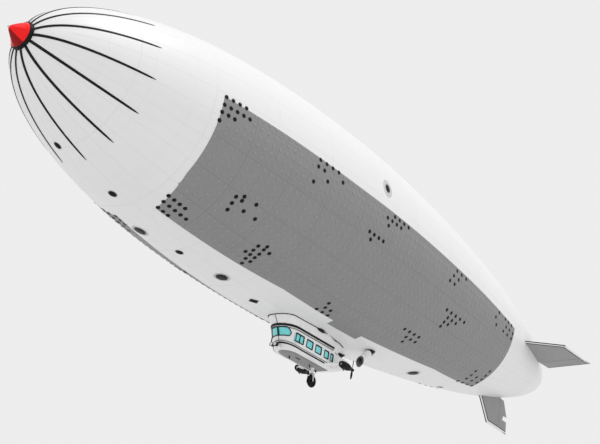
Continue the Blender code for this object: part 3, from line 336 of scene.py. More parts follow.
# Stations of a blade: distance from the shaft, chord, thickness, twist in degrees
BLADES = (
    (0.030, 0.046, 0.030, 58.0),
    (0.070, 0.058, 0.024, 48.0),
    (0.120, 0.072, 0.016, 38.0),
    (0.180, 0.074, 0.012, 30.0),
    (0.250, 0.066, 0.009, 24.0),
    (0.310, 0.050, 0.006, 19.0),
    (0.334, 0.034, 0.005, 17.0),
    (0.340, 0.014, 0.003, 16.0),
)

# Air scoops
SCOOP_MOUTH = (-2.603, 0.80, -3.879)
SCOOP_TOP = (-3.460, 0.64, -3.070)
SCOOP_RADIUS, SCOOP_WALL = 0.145, 0.010
# Layers of a scoop: (share of its length, stands out) pairs of the tube, its black lip and its black collar
SCOOP_LAYERS = (
    (0, ((0.0, 0.0), (0.04, 0.0), (0.85, 0.0))),
    (1, ((0.0, 0.0), (0.0, 0.008), (0.03, 0.010), (0.07, 0.008), (0.08, 0.0))),
    (1, ((0.62, 0.0), (0.63, 0.008), (0.72, 0.010), (0.95, 0.010), (0.96, 0.0))),
)

# Landing wheel
AXLE_X, AXLE_Z = -1.194, -5.020
TYRE_RADIUS, TYRE_HALF, RIM_RADIUS, BEAD_HALF = 0.220, 0.048, 0.120, 0.036
GROOVE_PITCH, GROOVE_HALF, GROOVE_DEPTH = 0.018, 0.0022, 0.006
NUT_Y = 0.074
AXLE_NUT = ((0.0, 0.0), (0.0, 0.020), (0.010, 0.020), (0.013, 0.016), (0.013, 0.0))

# Lamps under the bow: (along, radius) pairs of the shell and the lens, and x, half width and half height of
# the bracket
LAMP_X, LAMP_Y, LAMP_Z = 1.030, 0.080, -4.490
LAMP_SHELL = (
    (-0.170, 0.0),
    (-0.168, 0.025),
    (-0.150, 0.046),
    (-0.110, 0.066),
    (-0.050, 0.073),
    (-0.012, 0.075),
    (0.0, 0.075),
    (0.0, 0.064),
    (-0.006, 0.062),
    (-0.006, 0.0),
)
LAMP_LENS = ((-0.006, 0.062), (-0.003, 0.061), (-0.001, 0.045), (0.0, 0.0))
LAMP_BRACKET = ((0.90, 0.09, 0.012), (0.72, 0.06, 0.010), (0.58, 0.03, 0.010))

# Seats: front x of each row, and where the two seats of a row stand
SEAT_ROWS = (0.17, -0.28, -0.74, -1.16)
SEAT_Y, SEAT_HALF, SEAT_BASE_Z = 0.170, 0.120, -4.535
# Dials: x, height over the floor, y of the first, pitch and count, then a dial as (along, radius)
DIAL_X, DIAL_RISE, FIRST_DIAL_Y, DIAL_PITCH, DIALS = 0.282, 0.17, -0.12, 0.06, 5
DIAL = ((-0.001, 0.0), (-0.001, 0.022), (0.004, 0.022), (0.004, 0.018), (0.002, 0.017), (0.002, 0.0))

# The drawing's view, and the studio
CAMERA_PLACE = (28.685, 25.894, -16.799)
CAMERA_YAW, CAMERA_PITCH, CAMERA_ROLL = -137.1, 23.9, 10.6
CAMERA_LENS, SENSOR_WIDTH = 72.27, 36.0
FLOOR_Z, FLOOR_REACH = -16.90, 300.0
KEY_SPREAD, KEY_TILT = 9.0, -13.5


def metres(name, description, default):
    return FloatProperty(name=name, description=description, default=default, min=0.0, unit="LENGTH")


def whole(name, description, default):
    return IntProperty(name=name, description=description, default=default, min=1)


def strength(name, description, default):
    return FloatProperty(name=name, description=description, default=default, min=0.0)


def paint(name, description, *default):
    """A colour property, in linear red, green and blue."""
    return FloatVectorProperty(
        name=name, description=description, default=default, min=0.0, max=1.0, subtype="COLOR"
    )


class ShipSizes(bpy.types.PropertyGroup):
    """The sizes of what is dressed on to the frame."""

    seam_tapes: whole("Seam tapes", "Lengthwise tapes on the cloth", 24)
    hoop_tapes: whole("Hoop tapes", "Tapes round the hull", 11)
    tape_width: metres("Tape width", "Width of a seam tape", 0.045)
    lamp_pitch: metres("Lamp pitch", "From one sign lamp to the next", 0.285)
    lamp_radius: metres("Lamp radius", "A sign lamp's radius", 0.052)
    dark_lamp_radius: metres("Dark lamp radius", "A dark sign lamp's radius", 0.068)
    batten_width: metres("Batten width", "Width of a nose batten at its root", 0.090)
    batten_depth: metres("Batten depth", "How far a batten stands off the cloth", 0.018)
    rim_width: metres("Rim width", "White edge of a fin", 0.155)
    piping: metres("Piping radius", "Dark beading on the fins", 0.020)
    seal_width: metres("Seal width", "Rubber round a window", 0.042)
    tread_grooves: whole("Tread grooves", "Grooves round the tyre", 3)
    sun_strength: strength("Key light", "Strength of the overhead light", 1.15)
    sky_strength: strength("Studio light", "Strength of the light all round", 0.85)


class ShipColours(bpy.types.PropertyGroup):
    """The colours of the finishes."""

    cloth: paint("Cloth", "Envelope", 0.86, 0.86, 0.86)
    sign: paint("Sign", "Sign panels", 0.27, 0.27, 0.27)
    nose: paint("Nose", "Nose cone", 1.0, 0.0, 0.0)
    black: paint("Black", "Black trim", 0.006, 0.006, 0.007)
    fin: paint("Fin", "Fin plates", 0.30, 0.30, 0.30)
    cabin: paint("Cabin", "Cabin paint", 0.88, 0.88, 0.88)
    belly: paint("Belly", "Under the cabin", 0.26, 0.26, 0.26)
    glass: paint("Glass", "Window tint", 0.20, 0.93, 0.96)
    lens: paint("Lens", "Lenses of the landing lamps", 0.92, 0.95, 0.97)
    # Lightened, this also makes the painted highlight on the cowlings' tops
    metal: paint("Metal", "Bare metal", 0.62, 0.62, 0.63)
    seat: paint("Seat", "Seat cloth", 0.09, 0.12, 0.18)
    floor: paint("Floor", "Studio floor", 0.69, 0.69, 0.69)


def sizes():
    return bpy.context.scene.ship_sizes


def colours():
    return bpy.context.scene.ship_colours


class Shape:
    """Points and faces of one piece, gathered from simple forms.

    A mark is the place of a face's finish in the piece's list.
    """

    def __init__(self):
        self.points = []
        self.faces = []
        self.marks = []

    def add(self, points, faces, mark=0):
        base = len(self.points)
        self.points.extend(Vector(point) for point in points)
        for face in faces:
            self.faces.append([base + corner for corner in face])
            self.marks.append(mark)

    def loft(self, rings, mark=0, closed=True, caps=True, wrap=False):
        """Skin through rings of equal count. Wrap joins the last ring to the first."""
        count = len(rings[0])
        total = len(rings)
        faces = []
        for level in range(total if wrap else total - 1):
            low, high = level * count, (level + 1) % total * count
            for place in range(count if closed else count - 1):
                after = (place + 1) % count
                faces.append([low + place, low + after, high + after, high + place])
        if caps and not wrap:
            faces.append(list(range(count)))
            faces.append(list(range((total - 1) * count, total * count)))
        self.add([point for ring in rings for point in ring], faces, mark)

    def turned(self, profile, sides, centre=(0.0, 0.0, 0.0), axis=(1.0, 0.0, 0.0), mark=0, wrap=False):
        """A body turned about an axis through the centre, from (along, radius) pairs."""
        along, across, up = basis(axis)
        rings = []
        for place, radius in profile:
            ring = []
            for side in range(sides):
                turn = math.tau * side / sides
                spread = across * math.cos(turn) + up * math.sin(turn)
                ring.append(Vector(centre) + along * place + spread * radius)
            rings.append(ring)
        self.loft(rings, mark, caps=not wrap, wrap=wrap)

    def tube(self, path, radius, sides=8, mark=0, loop=False):
        """A round cord along a path of points."""
        path = [Vector(point) for point in path]
        rings = []
        side = None
        for place, point in enumerate(path):
            before = path[place - 1] if place or loop else point
            after = path[(place + 1) % len(path)] if place + 1 < len(path) or loop else point
            along = (after - before).normalized()
            if side is None:
                side = basis(along)[1]
            side = (side - along * side.dot(along)).normalized()
            up = along.cross(side)
            ring = []
            for step in range(sides):
                turn = math.tau * step / sides
                ring.append(point + (side * math.cos(turn) + up * math.sin(turn)) * radius)
            rings.append(ring)
        self.loft(rings, mark, caps=not loop, wrap=loop)

    def block(self, low, high, mark=0):
        """A box between two corners."""
        corners = ((low[0], low[1]), (high[0], low[1]), (high[0], high[1]), (low[0], high[1]))
        self.loft([[(x, y, z) for x, y in corners] for z in (low[2], high[2])], mark)


def part_way(start, end, share):
    return tuple(first + (last - first) * share for first, last in zip(start, end))


def basis(axis):
    """Three directions at right angles, the first along the axis."""
    along = Vector(axis).normalized()
    guide = Vector((0.0, 0.0, 1.0)) if abs(along.z) < 0.9 else Vector((1.0, 0.0, 0.0))
    across = guide.cross(along).normalized()
    return along, across, along.cross(across)


def put(shape, name, looks, body, angle=32.0, replaces=(), bevel=0.0):
    """Makes a shape into a piece that rides on a body, with crisp edges only where it bends sharply."""
    mesh = bpy.data.meshes.new(name)
    mesh.from_pydata(shape.points, [], shape.faces)
    mesh.polygons.foreach_set("material_index", shape.marks)
    work = bmesh.new()
    work.from_mesh(mesh)
    bmesh.ops.remove_doubles(work, verts=work.verts, dist=1e-5)
    bmesh.ops.recalc_face_normals(work, faces=work.faces)
    work.to_mesh(mesh)
    work.free()
    for look in looks:
        mesh.materials.append(finish(look))
    mesh.shade_smooth()
    mesh.set_sharp_from_angle(angle=math.radians(angle))
    piece = bpy.data.objects.new(name, mesh)
    bpy.context.scene.collection.objects.link(piece)
    if bevel:
        round_edges(piece, bevel)
    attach(piece, body)
    if replaces:
        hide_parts(*replaces)
    return piece


def round_edges(piece, width):
    """A small round on every sharp edge, so that it catches the light."""
    edge = piece.modifiers.new("rounded", "BEVEL")
    edge.width = width
    edge.segments = 2
    edge.limit_method = "ANGLE"
    edge.angle_limit = math.radians(30)
    normals = piece.modifiers.new("normals", "WEIGHTED_NORMAL")
    normals.keep_sharp = True


def carve(piece, shape):
    """Cuts a shape out of a piece."""
    mesh = bpy.data.meshes.new("cutter")
    mesh.from_pydata(shape.points, [], shape.faces)
    cutter = bpy.data.objects.new("cutter", mesh)
    bpy.context.scene.collection.objects.link(cutter)
    change = piece.modifiers.new("carve", "BOOLEAN")
    change.operation = "DIFFERENCE"
    change.object = cutter
    change.solver = "EXACT"
    bpy.context.view_layer.update()
    evaluated = piece.evaluated_get(bpy.context.evaluated_depsgraph_get())
    made = bpy.data.meshes.new_from_object(evaluated)
    piece.modifiers.clear()
    piece.data = made
    bpy.data.objects.remove(cutter)


def dress(node, look, bevel):
    """Gives a solid of the frame its finish and rounds its edges, with its mesh as it is."""
    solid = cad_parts[node]
    solid.data.materials.clear()
    solid.data.materials.append(finish(look))
    solid.data.shade_smooth()
    weld = solid.modifiers.new("weld", "WELD")
    weld.merge_threshold = 0.0001
    edge = solid.modifiers.new("rounded", "BEVEL")
    edge.width = bevel
    edge.segments = 2
    edge.limit_method = "ANGLE"
    edge.angle_limit = math.radians(33)
    edge.harden_normals = False
    normals = solid.modifiers.new("normals", "WEIGHTED_NORMAL")
    normals.keep_sharp = False


# Finishes


class Look(NamedTuple):
    """How a finish looks, from one of the ship's colours and a share of it.

    Mottling is pairs of (scale, darker), grain is triples of (scale, detail, height in metres), gloss is
    (least, most, scale) of the roughness, and sockets are pairs of a shader socket's name and its value.
    """

    colour: str
    share: float
    roughness: float
    mottling: tuple = ()
    grain: tuple = ()
    gloss: tuple = ()
    metallic: float = 0.0
    sockets: tuple = ()


def coat(weight, roughness):
    return (("Coat Weight", weight), ("Coat Roughness", roughness))


def specular(level):
    return (("Specular IOR Level", level),)


LOOKS = {
    "envelope_cloth": Look(
        "cloth", 1.0, 0.42, ((0.35, 0.965), (3.0, 0.985)), ((240.0, 2.0, 0.0006), (1.1, 2.0, 0.006)),
        (0.36, 0.5, 8.0), sockets=coat(0.12, 0.3)),
    "tape_cloth": Look("cloth", 0.965, 0.5, ((6.0, 0.96),), ((300.0, 2.0, 0.0006),)),
    "halo_cloth": Look("cloth", 0.72, 0.6, ((20.0, 0.9),), ((260.0, 2.0, 0.0007),)),
    "sign_cloth": Look(
        "sign", 1.0, 0.55, ((1.2, 0.93), (14.0, 0.96)), ((180.0, 2.0, 0.0008),), (0.48, 0.62, 8.0)),
    "lamp_cover": Look(
        "sign", 1.05, 0.3, ((40.0, 0.9),), ((120.0, 2.0, 0.0004),), sockets=coat(0.4, 0.12)),
    "nose_paint": Look(
        "nose", 1.0, 0.28, ((4.0, 0.93),), ((90.0, 2.0, 0.0003),), (0.22, 0.36, 8.0),
        sockets=specular(0.25) + coat(0.15, 0.1)),
    # A darker red for the cone's lower panel: painted shade
    "nose_shade": Look(
        "nose", 0.30, 0.3, ((4.0, 0.86),), ((90.0, 2.0, 0.0003),), (0.26, 0.4, 8.0), sockets=specular(0.2)),
    "black_paint": Look(
        "black", 1.0, 0.4, ((12.0, 0.6),), ((140.0, 3.0, 0.0006),), (0.32, 0.5, 14.0),
        sockets=specular(0.18)),
    "black_rubber": Look(
        "black", 1.4, 0.75, ((20.0, 0.7),), ((220.0, 3.0, 0.0009),), (0.65, 0.85, 20.0),
        sockets=specular(0.15)),
    "fin_paint": Look(
        "fin", 1.0, 0.5, ((1.5, 0.92), (18.0, 0.96)), ((160.0, 3.0, 0.0008),), (0.42, 0.6, 8.0)),
    "rim_paint": Look("cabin", 1.0, 0.32, ((5.0, 0.95),), ((80.0, 2.0, 0.0005),), (0.26, 0.4, 10.0)),
    "cabin_paint": Look(
        "cabin", 1.0, 0.3, ((2.0, 0.95), (22.0, 0.98)), ((60.0, 2.0, 0.0004),), (0.24, 0.38, 10.0),
        sockets=coat(0.3, 0.15)),
    "belly_paint": Look("belly", 1.0, 0.5, ((3.0, 0.88), (25.0, 0.95)), gloss=(0.42, 0.58, 8.0)),
    # Light grey metal for the cabin's stripes and dials, and the painted highlight on the cowlings' tops
    "stripe_metal": Look("metal", 1.15, 0.35, ((30.0, 0.9),), ((200.0, 2.0, 0.0003),), metallic=0.3),
    "bare_metal": Look(
        "metal", 1.0, 0.35, ((18.0, 0.75),), ((160.0, 3.0, 0.0005),), (0.28, 0.5, 25.0), metallic=0.9),
    "window_glass": Look(
        "glass", 1.0, 0.06, ((1.5, 0.88),), ((3.0, 1.0, 0.0008),),
        sockets=coat(1.0, 0.03) + (("Transmission Weight", 0.18),)),
    "lens_glass": Look(
        "lens", 1.0, 0.05, ((20.0, 0.93),), sockets=(("Transmission Weight", 0.25), ("Coat Weight", 1.0))),
    "seat_cloth": Look(
        "seat", 1.0, 0.85, ((30.0, 0.8),), ((400.0, 2.0, 0.0008),), sockets=(("Sheen Weight", 0.3),)),
    "studio_floor": Look("floor", 1.0, 0.9, ((0.05, 0.985),)),
}


class Finish:
    """A Principled material whose colour, gloss and relief vary with nodes of its own."""

    def __init__(self, name):
        look = LOOKS[name]
        self.made = bpy.data.materials.new(name)
        self.made.use_nodes = True
        self.tree = self.made.node_tree
        self.shader = self.tree.nodes["Principled BSDF"]
        self.colour = [part * look.share for part in getattr(colours(), look.colour)]
        self.shader.inputs["Base Color"].default_value = (*self.colour, 1.0)
        self.shader.inputs["Roughness"].default_value = look.roughness
        self.shader.inputs["Metallic"].default_value = look.metallic
        for socket, value in look.sockets:
            self.shader.inputs[socket].default_value = value
        self.made.diffuse_color = (*self.colour, 1.0)
        self.place = self.tree.nodes.new("ShaderNodeTexCoord").outputs["Object"]
        self.height = None
        for scale, darker in look.mottling:
            self.tint(self.spread(self.noise(scale, 5.0), 0.0, 1.0), darker)
        if name in PATTERNS:
            PATTERNS[name](self)
        for scale, detail, height in look.grain:
            self.raise_by(self.noise(scale, detail), height)
        if look.gloss:
            least, most, scale = look.gloss
            self.link(self.spread(self.noise(scale, 3.0), least, most), self.shader.inputs["Roughness"])

    def link(self, source, target):
        self.tree.links.new(source, target)

    def noise(self, scale, detail):
        made = self.tree.nodes.new("ShaderNodeTexNoise")
        made.inputs["Scale"].default_value = scale
        made.inputs["Detail"].default_value = detail
        self.link(self.place, made.inputs["Vector"])
        return made.outputs["Fac"]

    def maths(self, operation, *values):
        """One sum of one or two values, each a number or another node's result."""
        made = self.tree.nodes.new("ShaderNodeMath")
        made.operation = operation
        for socket, value in zip(made.inputs, values):
            if isinstance(value, (int, float)):
                socket.default_value = value
            else:
                self.link(value, socket)
        return made.outputs[0]

    def spread(self, noise, low, high):
        """Stretches the middle of a noise on to a range."""
        made = self.tree.nodes.new("ShaderNodeMapRange")
        self.link(noise, made.inputs["Value"])
        for socket, value in zip(("From Min", "From Max", "To Min", "To Max"), (0.3, 0.7, low, high)):
            made.inputs[socket].default_value = value
        return made.outputs["Result"]

    def tint(self, share, darker):
        """Mixes the colour towards a darker one where share is 1."""
        made = self.tree.nodes.new("ShaderNodeMix")
        made.data_type = "RGBA"
        self.link(share, made.inputs["Factor"])
        socket = self.shader.inputs["Base Color"]
        if socket.is_linked:
            self.link(socket.links[0].from_socket, made.inputs["A"])
        else:
            made.inputs["A"].default_value = (*self.colour, 1.0)
        made.inputs["B"].default_value = (*(part * darker for part in self.colour), 1.0)
        self.link(made.outputs["Result"], socket)

    def raise_by(self, source, distance):
        """Adds a height, in metres, to the bump."""
        bump = self.tree.nodes.new("ShaderNodeBump")
        bump.inputs["Strength"].default_value = 1.0
        bump.inputs["Distance"].default_value = distance
        self.link(source, bump.inputs["Height"])
        if self.height is not None:
            self.link(self.height, bump.inputs["Normal"])
        self.height = bump.outputs["Normal"]
        self.link(self.height, self.shader.inputs["Normal"])

    def axis(self, letter):
        """The place along X, Y or Z, in metres."""
        made = self.tree.nodes.new("ShaderNodeSeparateXYZ")
        self.link(self.place, made.inputs["Vector"])
        return made.outputs[letter]

    def turn(self):
        """The angle round the hull, in radians."""
        return self.maths("ARCTAN2", self.axis("Z"), self.axis("Y"))

    def lines(self, value, pitch, width):
        """1 on thin lines a pitch apart along a value."""
        cycle = self.maths("FRACT", self.maths("DIVIDE", value, pitch))
        away = self.maths("ABSOLUTE", self.maths("SUBTRACT", cycle, 0.5))
        return self.maths("GREATER_THAN", away, 0.5 - width / pitch / 2.0)

    def rivets(self, letter, pitch, row_pitch, size):
        """Small round heads in rows, a pitch apart along X and a row pitch apart along another axis."""
        rows = self.lines(self.axis("X"), pitch, size)
        columns = self.lines(self.axis(letter), row_pitch, size)
        self.raise_by(self.maths("MULTIPLY", rows, columns), 0.0012)


def hull_seams(cloth):
    """Welded seams, lengthwise between the tapes and round the hull."""
    across = cloth.lines(cloth.turn(), math.tau / sizes().seam_tapes / 2.0, 0.0035)
    seams = cloth.maths("MAXIMUM", across, cloth.lines(cloth.axis("X"), 1.3, 0.008))
    cloth.tint(seams, 0.94)
    cloth.raise_by(seams, 0.0015)


def sign_joints(cloth):
    """Joints between the sign's sheets, every four rows and six columns of lamps."""
    pitch = sizes().lamp_pitch
    across = cloth.lines(cloth.turn(), pitch * 4.0 / HULL_RADIUS, 0.004)
    joints = cloth.maths("MAXIMUM", across, cloth.lines(cloth.axis("X"), pitch * 6.0, 0.014))
    cloth.tint(joints, 0.8)
    cloth.raise_by(joints, -0.003)


def cabin_seams(skin):
    """Seams between the cabin's sheets, and rows of rivets."""
    seams = skin.lines(skin.axis("X"), 0.47, 0.004)
    skin.tint(seams, 0.72)
    skin.raise_by(seams, -0.0015)
    skin.rivets("Z", 0.047, 0.235, 0.009)


def belly_seams(skin):
    """Seams across the floor, and rows of rivets along it."""
    skin.tint(skin.lines(skin.axis("X"), 0.42, 0.004), 0.6)
    skin.rivets("Y", 0.042, 0.14, 0.008)


def lens_flutes(glass):
    """Upright flutes in a lens."""
    glass.raise_by(glass.lines(glass.axis("Y"), 0.012, 0.005), 0.0008)


PATTERNS = {
    "envelope_cloth": hull_seams,
    "sign_cloth": sign_joints,
    "cabin_paint": cabin_seams,
    "belly_paint": belly_seams,
    "lens_glass": lens_flutes,
}


MADE = {}


def finish(name):
    """A finish by name, built the first time that it is asked for."""
    if name not in MADE:
        MADE[name] = Finish(name).made
    return MADE[name]


# The hull's surface


def hull_radius(x):
    """The hull's outline radius at x."""
    share = min(max((NOSE_X - x) / HULL_LENGTH, 0.0), 1.0)
    if share < WIDEST:
        part = (WIDEST - share) / WIDEST
        return HULL_RADIUS * max(1.0 - part**NOSE_POWER, 0.0) ** NOSE_FULLNESS
    part = (share - WIDEST) / (1.0 - WIDEST)
    return HULL_RADIUS * max(1.0 - part**TAIL_POWER, 0.0) ** TAIL_FULLNESS


def hull_slope(x):
    """How much the radius grows for each metre towards the tail."""
    step = 0.005
    return (hull_radius(x - step) - hull_radius(x + step)) / (2.0 * step)


def hull_normal(x, degrees):
    turn = math.radians(degrees)
    return Vector((hull_slope(x), math.cos(turn), math.sin(turn))).normalized()


def on_hull(x, degrees, lift=0.0):
    """A point on the hull at x and an angle round it, lifted off the cloth."""
    turn = math.radians(degrees)
    radius = hull_radius(x)
    point = Vector((x, radius * math.cos(turn), radius * math.sin(turn)))
    return point + hull_normal(x, degrees) * lift if lift else point


def near_hull(x, degrees, reach, turn, lift=0.0):
    """A point on the hull at a distance and direction from another, for round things that lie on it."""
    around = degrees + math.degrees(reach * math.sin(turn) / hull_radius(x))
    return on_hull(x + reach * math.cos(turn), around, lift)


def hull_disc(shape, x, degrees, profile, sides, mark=0, stretch=1.0, first_turn=0.0):
    """A low round form that lies on the hull, from (reach, lift) pairs."""
    rings = []
    for reach, lift in profile:
        ring = []
        for step in range(sides):
            turn = first_turn + math.tau * step / sides
            along = reach * stretch * math.cos(turn)
            across = reach * math.sin(turn)
            ring.append(near_hull(x, degrees, math.hypot(along, across), math.atan2(across, along), lift))
        rings.append(ring)
    shape.loft(rings, mark)


class SHIP_OT_envelope(bpy.types.Operator):
    """The gas envelope's cloth, with its seam tapes and small patches"""

    bl_idname = "ship.envelope"
    bl_label = "Envelope"

    def execute(self, context):
        skin = Shape()
        rings = []
        for ring in range(1, HULL_RINGS):
            x = NOSE_X - HULL_LENGTH * (1.0 - math.cos(math.pi * ring / HULL_RINGS)) / 2.0
            rings.append([on_hull(x, 360.0 * side / HULL_SIDES) for side in range(HULL_SIDES)])
        skin.loft(rings)
        put(skin, "envelope_skin", ["envelope_cloth"], SHIP, 60.0, ["envelope"])
        self.tapes()
        self.patches()
        return {"FINISHED"}

    def tapes(self):
        """Tapes over the lengthwise seams and round the hull at the load frames."""
        tapes = Shape()
        half = sizes().tape_width / 2.0
        section = ((-half, -0.001), (-half * 0.8, 0.0018), (half * 0.8, 0.0018), (half, -0.001))
        count = sizes().seam_tapes
        for tape in range(count):
            degrees = 360.0 * (tape + 0.5) / count
            rings = []
            for step in range(TAPE_STEPS + 1):
                x = TAPE_FRONT_X - TAPE_LENGTH * (1.0 - math.cos(math.pi * step / TAPE_STEPS)) / 2.0
                spread = math.degrees(1.0 / hull_radius(x))
                rings.append([on_hull(x, degrees + across * spread, lift) for across, lift in section])
            tapes.loft(rings)
        hoops = sizes().hoop_tapes
        for hoop in range(hoops):
            x = NOSE_X - HULL_LENGTH * (hoop + 1.0) / (hoops + 1.0)
            rings = []
            for side in range(HULL_SIDES):
                degrees = 360.0 * side / HULL_SIDES
                rings.append([on_hull(x + along, degrees, lift) for along, lift in section])
            tapes.loft(rings, wrap=True)
        put(tapes, "seam_tapes", ["tape_cloth"], SHIP)

    def patches(self):
        """Small black patches with a pale edge along the keel."""
        patches = Shape()
        for x, degrees, radius, corners in PATCHES:
            turn = math.radians(DIAMOND_TURN) if corners == 4 else 0.0
            halo = ((radius * 1.25, 0.0), (radius * 1.25, 0.002), (radius, 0.003))
            hull_disc(patches, x, degrees, halo, corners, 1, first_turn=turn)
            profile = ((radius, 0.0), (radius, 0.006), (radius * 0.8, 0.010), (0.0, 0.011))
            hull_disc(patches, x, degrees, profile, corners, 0, first_turn=turn)
        put(patches, "keel_patches", ["black_rubber", "halo_cloth"], SHIP)


def mirrored(degrees, side):
    """An angle round the hull to port, or its mirror image to starboard."""
    return degrees if side > 0 else 180.0 - degrees


def sign_edges(x):
    """The sign's lower and upper edges at x, in degrees."""
    for start, end in zip(SIGN_OUTLINE, SIGN_OUTLINE[1:]):
        if end[0] <= x <= start[0]:
            return part_way(start, end, (start[0] - x) / (start[0] - end[0]))[1:]
    return 0.0, 0.0


class SHIP_OT_signs(bpy.types.Operator):
    """The light-sign panels and their lamps, those that are dark and those that match the panel"""

    bl_idname = "ship.signs"
    bl_label = "Sign panels"

    def execute(self, context):
        for side, label in SIDES:
            panel = Shape()
            self.panel(panel, SIGN_OUTLINE, side, SIGN_ROWS)
            self.panel(panel, SIGN_TAB, side, TAB_ROWS)
            node = f"sign_panel_{label}"
            put(panel, f"sign_cloth_{label}", ["sign_cloth"], SHIP, 40.0, [node])
            self.lamps(side, label)
        return {"FINISHED"}

    def panel(self, shape, outline, side, rows):
        """A thin sheet on the hull between the two edges of an outline."""
        columns = []
        for start, end in zip(outline, outline[1:]):
            steps = max(1, round((start[0] - end[0]) / 0.25), round(abs(end[1] - start[1]) / 1.5))
            columns += [part_way(start, end, step / steps) for step in range(steps)]
        columns.append(outline[-1])
        rings = []
        for x, low, high in columns:
            ring = []
            for row in range(rows + 1):
                degrees = low + (high - low) * row / rows
                ring.append(on_hull(x, mirrored(degrees, side), SIGN_LIFT))
            ring += [on_hull(x, mirrored(degrees, side), 0.0005) for degrees in (high, low)]
            rings.append(ring)
        shape.loft(rings)

    def lamps(self, side, label):
        """Low round lamps in a lattice over the panel, and the dark ones in places of their own."""
        pitch, radius = sizes().lamp_pitch, sizes().lamp_radius
        lamps = Shape()
        row_step = math.degrees(pitch / HULL_RADIUS)
        profile = [(radius * share, lift) for share, lift in LAMP_DOME]
        inset = radius * 1.15
        front, back = SIGN_OUTLINE[0][0], SIGN_OUTLINE[-1][0]
        for column in range(int((front - back) / pitch)):
            x = front - inset - 0.02 - column * pitch
            low, high = sign_edges(x)
            margin = math.degrees(inset / hull_radius(x))
            row = 0
            while high - margin - row * row_step > low + margin:
                degrees = high - margin - row * row_step
                row += 1
                if not self.by_dark(x, degrees, pitch):
                    hull_disc(lamps, x, mirrored(degrees, side), profile, LAMP_SIDES)
        radius = sizes().dark_lamp_radius
        profile = [(radius * share, lift) for share, lift in LAMP_DOME]
        for x, degrees in DARK_PLACES:
            hull_disc(lamps, x, mirrored(degrees, side), profile, LAMP_SIDES, 1)
        put(lamps, f"sign_lamps_{label}", ["lamp_cover", "black_paint"], SHIP)

    def by_dark(self, x, degrees, pitch):
        """Whether a dark lamp stands so near that no grey one fits."""
        for dark_x, dark_degrees in DARK_PLACES:
            around = math.radians(degrees - dark_degrees) * HULL_RADIUS
            if math.hypot(x - dark_x, around) < pitch * DARK_CLEAR:
                return True
        return False


class SHIP_OT_valves(bpy.types.Operator):
    """The round gas valves, each on its reinforcing patch"""

    bl_idname = "ship.valves"
    bl_label = "Gas valves"

    def execute(self, context):
        for number, x, degrees, radius, stretch, wide in VALVES:
            valve = Shape()
            patch = ((radius * wide, 0.0), (radius * wide, 0.002), (radius * 0.9, 0.003))
            hull_disc(valve, x, degrees, patch, VALVE_SIDES, 1, stretch)
            body = [(radius * share, lift) for share, lift in VALVE_BODY]
            hull_disc(valve, x, degrees, body, VALVE_SIDES, 0, stretch)
            for bolt in range(VALVE_BOLTS):
                turn = math.tau * bolt / VALVE_BOLTS
                along, across = stretch * math.cos(turn), math.sin(turn)
                reach = radius * BOLT_SHARE * math.hypot(along, across)
                at = near_hull(x, degrees, reach, math.atan2(across, along), BOLT_LIFT)
                valve.turned(BOLT_HEAD, 6, at, hull_normal(x, degrees), 2)
            looks, node = ["black_paint", "halo_cloth", "bare_metal"], f"gas_valve_{number}"
            put(valve, f"valve_{number}", looks, SHIP, replaces=[node])
        return {"FINISHED"}


